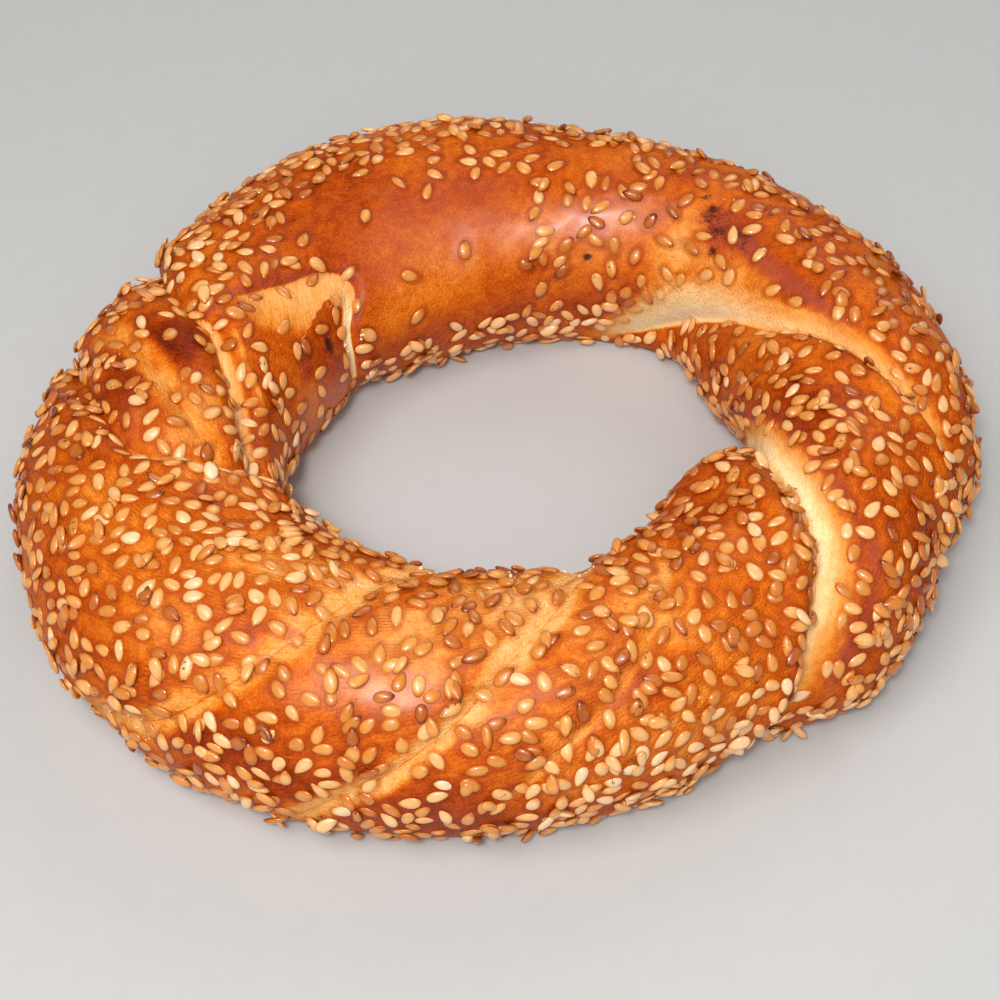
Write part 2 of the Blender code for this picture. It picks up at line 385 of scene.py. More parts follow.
@dataclass
class DoughForm:
    """The form of the risen strand, before its skin is browned."""

    ring_radius: float = 0.0500
    half_width: float = 0.0186
    height: float = 0.0320
    widest_level: float = 0.46
    underside_depth: float = 0.62
    base_rounding: float = 0.0012
    inset: float = 0.0004
    seam_fade: float = 0.12
    crease_softness: float = 0.25
    swell_offset: float = 2.6
    swell_spread: float = 1.4
    merge_power: float = 3.0
    base_lift: float = 0.0003
    base_lift_reach: float = 0.0008
    radius_waves: tuple[Wave, ...] = (Wave(2, 0.0032, 34), Wave(3, 0.0007, -4),
                                      Wave(4, 0.0007, 22))
    width_waves: tuple[Wave, ...] = (Wave(1, 0.0013, 183), Wave(2, 0.0006, 135),
                                     Wave(3, 0.0018, -13), Wave(4, 0.0004, 17))
    height_waves: tuple[Wave, ...] = (Wave(1, 0.0004, 222), Wave(2, 0.0008, 47))

    def sizes(self, ring: np.ndarray) -> tuple[np.ndarray, np.ndarray, np.ndarray]:
        """Measure the even strand round the ring.

        Args:
            ring: The ring angles in radians.

        Returns:
            The ring's radius, the strand's half width and its height at each angle.
        """
        return (self.ring_radius + sum(wave.at(ring) for wave in self.radius_waves),
                self.half_width + sum(wave.at(ring) for wave in self.width_waves),
                self.height + sum(wave.at(ring) for wave in self.height_waves))

    def lie(self, ring: np.ndarray, strand: np.ndarray) -> Lie:
        """Return where the points lie on the strand."""
        radius, half_width, _ = self.sizes(ring)
        return Lie(ring, strand, radius + half_width * np.cos(strand), half_width)

    def crease(self, seam: Seam, signed: np.ndarray,
               share: np.ndarray) -> tuple[np.ndarray, np.ndarray]:
        """Work out one seam's relief.

        Args:
            seam: The seam.
            signed: Each point's signed distance to the seam.
            share: The share of the seam at which each point lies.

        Returns:
            The depth of the crease and the height of the swells beside it.
        """
        fade = ease(0.0, self.seam_fade, share) * ease(0.0, self.seam_fade, 1.0 - share)
        width = np.where(signed < 0.0, seam.near_width, seam.far_width)
        swell = np.where(signed < 0.0, seam.near_swell, seam.far_swell)
        reach = np.abs(signed) / width
        softness = self.crease_softness
        crease = np.exp(softness - np.sqrt(reach ** 2 + softness ** 2))
        shoulder = np.exp(-((reach - self.swell_offset) / self.swell_spread) ** 2)
        return seam.depth * crease * fade, swell * shoulder * fade

    def surface(self, lie: Lie, relief: np.ndarray) -> np.ndarray:
        """Return the skin's points.

        Args:
            lie: Where the points lie on the strand.
            relief: How far the skin stands out from the even strand at each point.

        Returns:
            Positions in the frame, with x, y and z in the last axis.
        """
        radius, half_width, height = self.sizes(lie.ring)
        core = self.widest_level * height
        upper = np.sin(lie.strand) > 0.0
        rise = np.where(upper, height - core, self.underside_depth * height) + relief
        reach = radius + (half_width + relief) * np.cos(lie.strand)
        level = self.rest_flat(core + rise * np.sin(lie.strand))
        points = np.stack([reach * np.cos(lie.ring), reach * np.sin(lie.ring), level], axis=-1)
        return points + RING_CENTRE

    def rest_flat(self, level: np.ndarray) -> np.ndarray:
        """Press what would lie below the tray flat onto it.

        Args:
            level: The heights of the strand in metres.

        Returns:
            The heights over the tray, with a soft bend where the dough meets it.
        """
        rounding = self.base_rounding
        blend = (level + rounding) ** 2 / (4.0 * rounding)
        return np.where(level > rounding, level, np.where(level < -rounding, 0.0, blend))


# ---- Marks of baking on the crust

@dataclass(frozen=True)
class Patch:
    """A cloudy patch on the crust, its reach along the ring and round the strand in mm.

    No seed lies within the clear distance in mm of its middle.
    """

    ring_angle: float
    strand_angle: float
    along: float
    across: float
    browning: float = 0.0
    rose: float = 0.0
    gloss: float = 0.0
    scorch: float = 0.0
    torn: float = 0.0
    clear: float = 0.0


@dataclass(frozen=True)
class Stroke:
    """A line drawn over the crust, its half width in mm."""

    path: Path
    width: float
    browning: float = 0.0
    rose: float = 0.0
    gloss: float = 0.0
    scorch: float = 0.0
    torn: float = 0.0
    height: float = 0.0


@dataclass(frozen=True)
class Spread:
    """A stretch of the crust between two ring and two strand angles, and how seeds lie there."""

    ring_from: float
    ring_to: float
    strand_from: float
    strand_to: float
    seeds: float
    toast: float
    fade: float = 9.0

    def cover(self, lie: Lie) -> np.ndarray:
        """Work out how far each point is inside the stretch.

        Args:
            lie: Where the points lie on the strand.

        Returns:
            Values from 0 outside to 1 well inside.
        """
        inside = np.ones(lie.ring.shape)
        for angles, low, high in ((lie.ring, self.ring_from, self.ring_to),
                                  (lie.strand, self.strand_from, self.strand_to)):
            if high - low >= 360:
                continue
            middle, half = (low + high) / 2.0, (high - low) / 2.0
            away = np.degrees(np.abs(turn_between(angles, math.radians(middle))))
            inside = inside * ease(half + self.fade / 2.0, half - self.fade / 2.0, away)
        return inside


PATCHES = (
    # front lap
    Patch(253, 30, 6, 4, browning=0.02),
    Patch(262, 8, 9, 4, browning=0.08),
    Patch(268, 58, 24, 16, browning=-0.15, rose=0.12),
    Patch(306, 55, 14, 14, browning=-0.07),
    Patch(239, 16, 11, 4.5, browning=0.14),
    Patch(246, 2, 10, 4, browning=0.14),
    Patch(264, -16, 12, 6, browning=0.12, rose=0.25),
    Patch(216, 22, 8, 5, browning=0.08),
    # Paler and rosier here as painted sheen, over the real gloss of the coat.
    Patch(255, 68, 10, 8, browning=-0.17, rose=0.20, gloss=0.95),
    Patch(222, 78, 13, 11, browning=-0.14),
    Patch(236, 104, 9, 6, browning=-0.18),
    Patch(214, 52, 8, 6, browning=-0.03),
    Patch(230, 52, 7, 7, browning=-0.10, rose=0.25),
    Patch(270, 104, 10, 8, browning=-0.27),
    Patch(250, 118, 7, 5, browning=-0.10),
    Patch(293, 78, 4, 9, browning=-0.16),
    Patch(300, 30, 8, 7, browning=-0.02),
    Patch(312, 118, 8, 7, browning=0.10),
    Patch(312, 70, 6, 9, browning=0.03),
    Patch(284, 62, 5, 9, browning=-0.06, rose=0.30),
    Patch(290, 12, 12, 5, browning=-0.15),
    Patch(254, 140, 3.0, 2.6, browning=-0.60, torn=0.8),
    Patch(286, 130, 2.6, 5.0, browning=-0.50, torn=0.7),
    Patch(225, -4, 4.0, 3.0, browning=-0.34, torn=0.4),
    # right lap
    Patch(346, 112, 9, 8, browning=0.17),
    Patch(343, 60, 9, 10, browning=0.02),
    Patch(338, 30, 8, 7, browning=0.06),
    Patch(12, 150, 7, 8, browning=-0.08),
    # back lap
    Patch(28, 100, 9, 6, browning=0.06),
    Patch(18, 84, 8, 6, browning=-0.08),
    Patch(49, 142, 3.4, 8.0, browning=-0.26),
    Patch(34, 143, 7, 3.5, browning=-0.20),
    Patch(24, 128, 6, 2.6, browning=-0.14),
    Patch(43, 117, 4.2, 4.4, browning=0.12, rose=0.40, scorch=0.42, clear=1.5),
    Patch(37, 118, 3.2, 2.6, browning=0.10, rose=0.40, scorch=0.48),
    Patch(62, 112, 8, 5, browning=0.04, rose=0.20),
    # The glossy patches below are paler and rosier as painted sheen; their gloss itself comes
    # from the coat.
    Patch(69, 142, 11, 6.5, browning=-0.10, rose=0.26, gloss=0.9),
    Patch(108, 131, 15, 6.5, browning=-0.08, rose=0.50, gloss=0.9),
    Patch(106, 116, 14, 3.5, browning=0.06, rose=0.36),
    Patch(88, 138, 10, 6, browning=-0.06, gloss=0.85, rose=0.24),
    Patch(118, 98, 13, 7, browning=0.08),
    Patch(131, 128, 6, 6, browning=0.10),
    Patch(92, 182, 24, 6, browning=0.08, gloss=0.3),
    Patch(124, 164, 6, 6, browning=-0.12),
    Patch(98, 170, 5, 5, browning=-0.06),
    Patch(70, 170, 7, 5, browning=-0.07),
    Patch(120, 50, 20, 9, browning=-0.06),
    Patch(142, 66, 3, 2.4, browning=0.22, scorch=0.28),
    # strand's end at the joint
    Patch(162, 163, 1.6, 1.4, browning=0.20, clear=1.8),
    Patch(150, 166, 4.5, 5, browning=0.12, gloss=0.6),
    Patch(152, 186, 6, 5, browning=0.04, gloss=0.8),
    Patch(163, 182, 5, 7, browning=-0.10, gloss=0.6),
    Patch(151, 159, 0.9, 2.1, scorch=1.0, clear=2.8),
    Patch(141, 153, 0.5, 0.5, clear=1.5),
    Patch(142.5, 166, 0.5, 0.5, clear=1.5),
    Patch(142, 178, 0.5, 0.5, clear=1.5),
    # left lap
    Patch(177, 88, 6.5, 6, browning=0.34),
    Patch(187, 80, 3, 3, browning=0.16),
    Patch(197, 72, 5, 5, browning=0.06),
    Patch(192, 86, 5, 3, browning=-0.06, rose=0.35),
    Patch(201, 102, 6, 3, browning=-0.10, rose=0.25),
    Patch(190, 118, 8, 4, browning=-0.12),
    Patch(205, 60, 8, 8, browning=-0.12),
    # small burnt dots
    Patch(68, 154, 0.75, 0.65, scorch=1.0, clear=2.2),
    Patch(49, 105, 1.2, 1.0, scorch=0.76, clear=1.8),
    Patch(46, 113, 1.7, 2.0, browning=0.10, scorch=0.74, clear=2.0),
    Patch(43, 122, 1.5, 1.6, browning=0.06, scorch=0.70),
    Patch(41, 132, 0.8, 1.3, scorch=0.72),
    Patch(38, 116, 1.5, 1.2, scorch=0.68),
    Patch(128, 52, 0.8, 0.5, scorch=0.7),
    Patch(131, 107, 0.5, 0.5, scorch=0.7),
)

STROKES = (
    Stroke(Path(((138, 128), (141, 123.5), (147, 118.5), (154, 110), (161, 102), (167, 97))),
           0.8, browning=0.15, rose=0.65),
    Stroke(Path(((138, 154), (135, 142), (134.5, 132), (140, 124))), 0.6, browning=0.06,
           rose=0.32),
    Stroke(Path(((143.5, 152), (144.5, 166), (145, 184))), 0.5, browning=0.12, rose=0.3),
    Stroke(Path(((166, 113), (170, 122), (174.5, 131), (179, 141), (186, 152))), 0.55,
           browning=-0.24, torn=0.2, height=0.0005),
    Stroke(Path(((158, 150), (163, 160), (168, 172), (170, 184))), 0.9, browning=0.07,
           rose=0.30),
    Stroke(Path(((150, 205), (156, 212), (164, 214))), 0.5, browning=0.3, rose=0.5),
    Stroke(Path(((42, 112), (36, 118), (28, 119), (20, 112), (13, 103), (4, 86))), 1.7,
           browning=0.08, rose=0.60),
    Stroke(Path(((347, 118), (351, 112), (353, 104))), 0.35, browning=0.2, scorch=0.45),
    Stroke(Path(((330, 60), (328, 45), (324, 30), (319, 15), (315, -4))), 1.3,
           browning=0.12, rose=0.55),
    Stroke(Path(((128, 196), (140, 200), (147, 205))), 0.4, browning=0.2, rose=0.3),
)

SPREADS = (
    Spread(0, 360, 15, 165, 0.085, 0.45),
    Spread(0, 360, -70, 15, 0.090, 0.30),
    Spread(0, 360, 165, 240, 0.070, 0.38),
    Spread(0, 360, 240, 290, 0.028, 0.30),
    # front lap
    Spread(200, 242, 55, 165, 0.120, 0.33),
    Spread(205, 240, 10, 55, 0.085, 0.40),
    Spread(243, 281, 40, 105, 0.082, 0.47),
    Spread(243, 281, 105, 160, 0.100, 0.45),
    Spread(225, 276, -60, 24, 0.080, 0.34),
    Spread(274, 312, -60, 26, 0.130, 0.16),
    Spread(284, 322, 28, 150, 0.110, 0.46),
    # right lap
    Spread(328, 358, 25, 150, 0.095, 0.38),
    Spread(318, 372, -60, 25, 0.130, 0.36),
    # back lap
    Spread(5, 60, 20, 100, 0.070, 0.50),
    Spread(10, 55, 100, 165, 0.025, 0.35),
    Spread(62, 140, 20, 78, 0.090, 0.36),
    Spread(64, 138, 86, 184, 0.010, 0.34),
    Spread(46, 62, 95, 165, 0.045, 0.38),
    Spread(66, 84, 108, 164, 0.060, 0.50),
    Spread(80, 106, 84, 108, 0.050, 0.40),
    Spread(30, 140, 188, 232, 0.085, 0.22),
    # joint and left lap
    Spread(141, 176, 116, 152, 0.028, 0.42),
    Spread(144, 170, 152, 196, 0.022, 0.30),
    Spread(140, 180, 0, 100, 0.085, 0.28),
    Spread(168, 204, 60, 140, 0.070, 0.33),
    Spread(170, 184, 80, 108, 0.022, 0.50, 5.0),
    Spread(168, 206, 0, 60, 0.095, 0.40),
    Spread(176, 206, 142, 200, 0.080, 0.28),
)


@dataclass
class BakingMarks:
    """Everything that differs from place to place on the crust, one value for each point."""

    browning: np.ndarray
    torn: np.ndarray
    rose: np.ndarray
    gloss: np.ndarray
    scorch: np.ndarray
    band: np.ndarray
    relief: np.ndarray
    seeds: np.ndarray
    toast: np.ndarray
    clear: np.ndarray
    tear_at: np.ndarray
    tear_away: np.ndarray
    tear_tone: np.ndarray
    tear_cover: np.ndarray
    line_gap: np.ndarray
    line: np.ndarray

    @classmethod
    def plain(cls, browning: np.ndarray) -> "BakingMarks":
        """Start marks with nothing but browning.

        Args:
            browning: The browning of each point.

        Returns:
            The marks, with no seam, patch or seed near any point.
        """
        values = {name: np.zeros(browning.shape) for name in cls.__dataclass_fields__}
        values.update(browning=browning, tear_at=np.full(browning.shape, -4.0),
                      tear_away=np.full(browning.shape, 1.6),
                      line_gap=np.full(browning.shape, 6.0))
        return cls(**values)


@dataclass
class Oven:
    """Works out the relief of the skin and its browning from the seams, patches and strokes.

    It knows where the crust's points lie, and their grain: positions whose distances are short
    along the twist and long across it. Two fields of lumps, one broad and one fine, make the
    edges of all marks uneven. Marks are measured in mm.
    """

    form: DoughForm
    lie: Lie
    grain: np.ndarray
    top_browning: float = 0.635
    flank_browning: float = 0.64
    base_browning: float = 0.52
    browning_clouds: tuple[tuple[float, float], ...] = ((0.016, 0.07), (0.007, 0.06))
    lumps: tuple[tuple[float, float], ...] = ((0.0090, 0.00032), (0.0042, 0.00014),
                                              (0.0019, 0.00007))
    small_patch: float = 1.6
    seam_end: float = 0.06
    stroke_end: float = 0.15
    least_width: float = 0.05
    tear_margin: float = 1.5
    rim_width: float = 1.5
    wrinkle: float = 0.00003
    band_wrinkle: float = 0.00006
    crumble: float = 0.00004
    torn_bareness: float = 0.93
    band_bareness: float = 0.55
    even: np.ndarray = field(init=False)
    broad: np.ndarray = field(init=False)
    fine: np.ndarray = field(init=False)
    marks: BakingMarks = field(init=False)

    def __post_init__(self) -> None:
        """Lay the points on the even strand and start the marks."""
        self.even = self.form.surface(self.lie, np.zeros(self.lie.ring.shape))
        self.broad, self.fine = self.lump(0.006, 11), self.lump(0.0025, 12)
        self.marks = BakingMarks.plain(self.even_browning())

    def lump(self, cell: float, seed: int) -> np.ndarray:
        """Return a random field of this cell over the even strand."""
        return Lumps(cell, seed).at(self.even)

    def bake(self) -> BakingMarks:
        """Bake the dough.

        Returns:
            The marks for every point.
        """
        self.add_patches()
        self.cut_seams()
        self.draw_strokes()
        self.raise_lumps()
        self.sow()
        return self.marks

    def even_browning(self) -> np.ndarray:
        """Brown the crust as heat from above does, with soft clouds in it.

        Returns:
            The browning of each point.
        """
        up = np.sin(self.lie.strand)
        browning = np.where(up > 0.0,
                            self.flank_browning + (self.top_browning - self.flank_browning) * up,
                            self.flank_browning + (self.flank_browning - self.base_browning) * up)
        for index, (cell, strength) in enumerate(self.browning_clouds):
            browning = browning + strength * self.lump(cell, 21 + index)
        return browning

    def stain(self, source: Patch | Stroke, cover: np.ndarray) -> None:
        """Brown the crust under a patch or stroke, and lay its other colours where they show.

        Args:
            source: The patch or stroke.
            cover: How strong it is at each point.
        """
        self.marks.browning += source.browning * cover
        for name in ("rose", "gloss", "scorch", "torn"):
            self.raise_to(name, getattr(source, name) * cover)

    def raise_to(self, name: str, values: np.ndarray) -> None:
        """Raise one of the marks to the values where they are higher."""
        setattr(self.marks, name, np.maximum(getattr(self.marks, name), values))

    def add_patches(self) -> None:
        """Add the cloudy patches, with uneven edges, and clear some of seeds."""
        for patch in PATCHES:
            along, across = self.lie.offset(patch.ring_angle, patch.strand_angle)
            stir = 0.15 if min(patch.along, patch.across) < self.small_patch else 0.45
            reach = (along / (patch.along * MM)) ** 2 + (across / (patch.across * MM)) ** 2
            reach = reach * (1.0 + stir * self.broad + stir * self.fine)
            self.stain(patch, np.exp(-np.maximum(reach, 0.0) ** 1.2))
            if patch.clear:
                away = np.hypot(along, across) / (patch.clear * MM)
                self.raise_to("clear", ease(1.1, 0.9, away))

    def cut_seams(self) -> None:
        """Cut the creases and bare the torn dough beside them."""
        marks, end = self.marks, self.seam_end
        depths = np.zeros(self.lie.ring.shape)
        for seam in SEAMS.values():
            signed, share = seam.path.measure(self.lie)
            crease, shoulder = self.form.crease(seam, signed, share)
            depths += crease ** self.form.merge_power
            marks.relief += shoulder
            distance = signed / MM
            fade = ease(0.0, end, share) * ease(0.0, end, 1.0 - share)
            if seam.tear:
                self.bare_tear(seam.tear, -distance if seam.tear.flip else distance, share, fade)
            if seam.band:
                self.stretch_band(seam.band, distance, fade)
            if seam.line:
                nearer = np.abs(distance) < np.abs(marks.line_gap)
                marks.line_gap = np.where(nearer, distance, marks.line_gap)
                marks.line = np.where(nearer, seam.line * fade, marks.line)
        marks.relief -= depths ** (1.0 / self.form.merge_power)

    def bare_tear(self, tear: Tear, distance: np.ndarray, share: np.ndarray,
                  fade: np.ndarray) -> None:
        """Lay the pale torn dough along one seam, with a rosy rim where the skin begins.

        Args:
            tear: The torn dough.
            distance: Each point's distance from the crease, negative on its other side.
            share: The share of the seam at which each point lies.
            fade: The strength of the seam there, which ends gently.
        """
        marks, beyond = self.marks, distance > 0.0
        width = np.interp(share, np.linspace(0.0, 1.0, len(tear.widths)), tear.widths)
        strip = np.interp(share, np.linspace(0.0, 1.0, len(tear.tones)), tear.tones)
        wide = np.maximum(width, self.least_width)
        place = np.where(beyond, distance / wide, distance / tear.near_edge)
        place = place + np.where(beyond, 0.06 * self.broad + 0.03 * self.fine, 0.0)
        away = np.abs(distance - width / 2.0) / (width / 2.0 + self.tear_margin)
        cover = fade * ease(0.15, 0.7, width) * ease(1.45, 1.05, away)
        bare = ease(*TEAR_END, place) * ease(*TEAR_START, place) * cover
        # The step at the crease floor is painted crease shade; the step where the skin begins is
        # browning.
        tone = (strip + tear.crease_shade_step * ease(0.20, 0.0, place)
                + tear.outer_step * ease(0.12, 0.95, place))
        nearer = (away < marks.tear_away) & (cover > 0.0)
        for name, values in (("tear_away", away), ("tear_at", np.clip(place, -4.0, 4.0)),
                             ("tear_tone", tone), ("tear_cover", cover)):
            setattr(marks, name, np.where(nearer, values, getattr(marks, name)))
        marks.rose *= 1.0 - 0.8 * bare
        self.raise_to("torn", tear.rough * bare * ease(1.0, 0.55, place))
        rim = np.exp(-((distance - width * 1.05 - 0.2) / self.rim_width) ** 2)
        rim = rim * fade * ease(0.8, 2.2, width) * (0.65 + 0.35 * self.broad) * beyond
        self.raise_to("rose", tear.rim_rose * rim)
        marks.browning += tear.rim_brown * rim * (1.0 - bare)

    def stretch_band(self, band: Band, distance: np.ndarray, fade: np.ndarray) -> None:
        """Lighten a stretched band beside a shallow seam.

        Args:
            band: The band.
            distance: Each point's distance from the seam, negative on its near side.
            fade: The strength of the seam there, which ends gently.
        """
        marks = self.marks
        reach = np.where(distance < 0.0, -distance / band.near, distance / band.far)
        reach = reach + 0.22 * self.broad + 0.12 * self.fine
        cover = ease(1.35, 0.55, reach) * fade * band.amount
        marks.browning = (marks.browning * (1.0 - cover)
                          + (band.browning + 0.05 * self.fine) * cover)
        self.raise_to("band", cover)
        marks.gloss *= 1.0 - 0.6 * cover

    def draw_strokes(self) -> None:
        """Draw the thin lines of colour, with uneven edges."""
        end = self.stroke_end
        for stroke in STROKES:
            signed, share = stroke.path.measure(self.lie)
            reach = signed / (stroke.width * MM)
            cover = np.exp(-reach ** 2 * (1.0 + 0.4 * self.fine))
            cover = cover * ease(0.0, end, share) * ease(0.0, end, 1.0 - share)
            self.stain(stroke, cover)
            self.marks.relief += stroke.height * cover

    def raise_lumps(self) -> None:
        """Add the unevenness of hand-rolled dough, its stretch wrinkles and torn crumb."""
        marks = self.marks
        for swell in SWELLS:
            marks.relief += swell.at(self.lie)
        for index, (cell, height) in enumerate(self.lumps):
            marks.relief += height * self.lump(cell, 31 + index)
        wrinkles = Lumps(0.0024, 41).at(self.grain)
        marks.relief += (self.wrinkle + self.band_wrinkle * marks.band) * wrinkles
        marks.relief += self.crumble * marks.torn * self.lump(0.0016, 43)
        marks.relief -= self.form.inset

    def sow(self) -> None:
        """Set how many seeds lie on each square millimetre and how toasted they are."""
        marks = self.marks
        for spread in SPREADS:
            cover = spread.cover(self.lie)
            marks.seeds = marks.seeds * (1.0 - cover) + spread.seeds * cover
            marks.toast = marks.toast * (1.0 - cover) + spread.toast * cover
        clusters = 1.0 + 0.45 * self.lump(0.0065, 51) + 0.25 * self.lump(0.003, 52)
        marks.seeds *= np.maximum(clusters, 0.05)
        marks.seeds *= 1.0 - self.torn_bareness * np.clip(marks.torn * 1.4, 0.0, 1.0)
        marks.seeds *= (1.0 - self.band_bareness * marks.band) * (1.0 - marks.clear)


# ---- Meshes

def make_piece(name: str, points: np.ndarray, faces: list | np.ndarray,
               corner_map: np.ndarray, marks: dict[str, np.ndarray]) -> bpy.types.Object:
    """Make one smooth mesh object with its map and its marks.

    Args:
        name: The piece's name.
        points: The vertices, one row each.
        faces: The vertices of each face.
        corner_map: The map position of each face corner, in face order.
        marks: The named values of the vertices, single numbers or vectors.

    Returns:
        The new object, linked to the scene.
    """
    mesh = bpy.data.meshes.new(name)
    mesh.from_pydata(points, [], faces)
    mesh.shade_smooth()
    layer = mesh.uv_layers.new(name=BAKE_MAP)
    layer.data.foreach_set("uv", np.ascontiguousarray(corner_map, dtype=np.float32).ravel())
    for mark, values in marks.items():
        flat = values.ndim == 1
        attribute = mesh.attributes.new(mark, "FLOAT" if flat else "FLOAT_VECTOR", "POINT")
        attribute.data.foreach_set("value" if flat else "vector",
                                   np.ascontiguousarray(values, dtype=np.float32).ravel())
    mesh.update()
    piece = bpy.data.objects.new(name, mesh)
    bpy.context.scene.collection.objects.link(piece)
    return piece


@dataclass(frozen=True)
class SmallMesh:
    """A small mesh made many times over, with its map laid out between 0 and 1 each way."""

    points: np.ndarray
    faces: list[tuple[int, ...]]
    corner_map: np.ndarray


@dataclass
class Batch:
    """Small meshes that become one joined piece, each with a cell of the map to itself."""

    name: str
    count: int
    points: list[np.ndarray] = field(default_factory=list)
    faces: list[tuple[int, ...]] = field(default_factory=list)
    corner_maps: list[np.ndarray] = field(default_factory=list)
    marks: dict[str, list[np.ndarray]] = field(default_factory=dict)
    start: int = 0

    def add(self, model: SmallMesh, points: np.ndarray, **marks: float | np.ndarray) -> None:
        """Add one small mesh, lifted clear of the tray if it would reach into it.

        Args:
            model: The mesh that it is made after.
            points: Its vertices in the frame.
            **marks: Its named values, each the same all over or one for each vertex.
        """
        cells = math.ceil(math.sqrt(self.count))
        row, column = divmod(len(self.points), cells)
        points[:, 2] += max(0.0, TRAY_GAP - points[:, 2].min())
        self.points.append(points)
        self.faces.extend(tuple(self.start + corner for corner in face) for face in model.faces)
        self.corner_maps.append((model.corner_map + (column, row)) / cells)
        for name, values in marks.items():
            values = values if np.ndim(values) else np.full(len(points), values)
            self.marks.setdefault(name, []).append(values)
        self.start += len(points)

    def join(self) -> bpy.types.Object:
        """Join all that was added.

        Returns:
            The piece.
        """
        return make_piece(self.name, np.vstack(self.points), self.faces,
                          np.vstack(self.corner_maps),
                          {name: np.concatenate(values) for name, values in self.marks.items()})


def triangle_count(piece: bpy.types.Object) -> int:
    """Return how many triangles the piece's faces make."""
    return sum(len(face.vertices) - 2 for face in piece.data.polygons)


@dataclass
class Crust:
    """The whole skin of the ring, from its browned top to its flat underside."""

    form: DoughForm
    ring_segments: int = 600
    strand_segments: int = 164
    top_share: float = 0.35
    twist_lean: float = 28.8
    twist_offset: float = 7.2
    left_lean: float = 14.0
    left_lean_angle: float = 186.0
    left_lean_sharpness: int = 4
    grain_reach: float = 0.0035
    map_margin: float = 0.004
    farthest_gap: float = 2.0
    gap_search: float = 0.95
    gap_depth: float = 0.45
    shader_marks: tuple[str, ...] = ("browning", "torn", "rose", "gloss", "scorch", "band",
                                     "tear_at", "tear_tone", "tear_cover", "line_gap", "line")
    piece: bpy.types.Object | None = None
    points: np.ndarray | None = None
    normals: np.ndarray | None = None
    marks: BakingMarks | None = None
    lie: Lie | None = None

    def build(self) -> None:
        """Build the crust's mesh in place of the plain solid, and keep what the seeds need."""
        around = np.arange(self.ring_segments) * 2 * math.pi / self.ring_segments
        across = np.arange(self.strand_segments) * 2 * math.pi / self.strand_segments
        base_ring, base_strand = np.meshgrid(around, across, indexing="ij")
        strand = base_strand + self.top_share * np.cos(base_strand)
        left = 0.5 + 0.5 * np.cos(base_ring - math.radians(self.left_lean_angle))
        lean = self.twist_lean + self.left_lean * left ** self.left_lean_sharpness
        ring = base_ring + np.radians(self.twist_offset - lean * np.cos(strand))
        self.lie = self.form.lie(ring, strand)
        grain = self.grain(base_ring, strand)
        self.marks = Oven(self.form, self.lie, grain).bake()
        points = self.form.surface(self.lie, self.marks.relief)
        lift = self.form.base_lift * (1.0 + 0.6 * Lumps(0.004, 61).at(points))
        points[..., 2] += lift * np.exp(-points[..., 2] / self.form.base_lift_reach)
        self.points, self.normals = points, self.skin_normals(points)
        shader_marks = {name: getattr(self.marks, name).ravel() for name in self.shader_marks}
        self.piece = make_piece("crust", points.reshape(-1, 3), *self.skin_faces(),
                                {"grain_at": grain.reshape(-1, 3)} | shader_marks)
        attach(self.piece, BODY)
        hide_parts(CAD_RING)

    def dress(self) -> None:
        """Give the crust its finish."""
        CrustFinish().dress(self.piece)

    def grain(self, base_ring: np.ndarray, strand: np.ndarray) -> np.ndarray:
        """Lay the points on a thin ring, to give the twist's lines their grain.

        Args:
            base_ring: The ring angles before the twist leans them.
            strand: The strand angles.

        Returns:
            The positions, whose distances are short along the twist.
        """
        reach = self.form.ring_radius + self.grain_reach * np.cos(strand)
        return np.stack([reach * np.cos(base_ring), reach * np.sin(base_ring),
                         self.grain_reach * np.sin(strand)], axis=-1)

    def skin_normals(self, points: np.ndarray) -> np.ndarray:
        """Find the outward normal at each point of the skin's grid.

        Args:
            points: The skin's grid of points.

        Returns:
            The normals, each of length 1.
        """
        along = np.roll(points, -1, axis=0) - np.roll(points, 1, axis=0)
        across = np.roll(points, -1, axis=1) - np.roll(points, 1, axis=1)
        normals = np.cross(along, across)
        return normals / np.maximum(np.linalg.norm(normals, axis=-1, keepdims=True), 1e-12)

    def skin_faces(self) -> tuple[np.ndarray, np.ndarray]:
        """List the quads of the closed skin, and map it as two half rings, one above the other.

        Returns:
            The four vertices of each quad, and the map position of each face corner.
        """
        rows, columns = self.ring_segments, self.strand_segments
        row, column = np.meshgrid(np.arange(rows), np.arange(columns), indexing="ij")
        half, margin = rows // 2, self.map_margin
        strip = row // half
        quads, corners = [], []
        for ahead, up in ((0, 0), (1, 0), (1, 1), (0, 1)):
            quads.append((row + ahead) % rows * columns + (column + up) % columns)
            across = (row - strip * half + ahead) / half
            level = (column + up) / columns
            corners.append(np.stack(
                [margin + (1.0 - 2 * margin) * across,
                 (0.5 + margin) * strip + margin + (0.5 - 3 * margin) * level], axis=-1))
        return (np.stack(quads, axis=-1).reshape(-1, 4),
                np.stack(corners, axis=2).reshape(-1, 2))

    def press_round(self, seeds: "SeedSet") -> None:
        """Mark how far in mm each point of the skin is from the nearest seed's edge.

        Args:
            seeds: The seeds that lie on the crust.
        """
        points = self.points.reshape(-1, 3)
        tree = kdtree.KDTree(len(points))
        for index, point in enumerate(points.tolist()):
            tree.insert(point, index)
        tree.balance()
        gaps = np.full(len(points), self.farthest_gap)
        for place, axes, size in zip(seeds.places, seeds.axes, seeds.sizes):
            found = tree.find_range(place, size[0] * self.gap_search)
            found = np.array([index for _, index, _ in found])
            if len(found) == 0:
                continue
            local = (points[found] - place) @ axes.T
            close = np.abs(local[:, 2]) < size[1] * self.gap_depth
            found, local = found[close], local[close]
            reach = np.hypot(local[:, 0] / (size[0] / 2), local[:, 1] / (size[1] / 2))
            gaps[found] = np.minimum(gaps[found], (reach - 1.0) * size[1] / 2 / MM)
        attribute = self.piece.data.attributes.new("seed_gap", "FLOAT", "POINT")
        attribute.data.foreach_set("value", gaps.astype(np.float32))


# ---- Seeds and crumbs

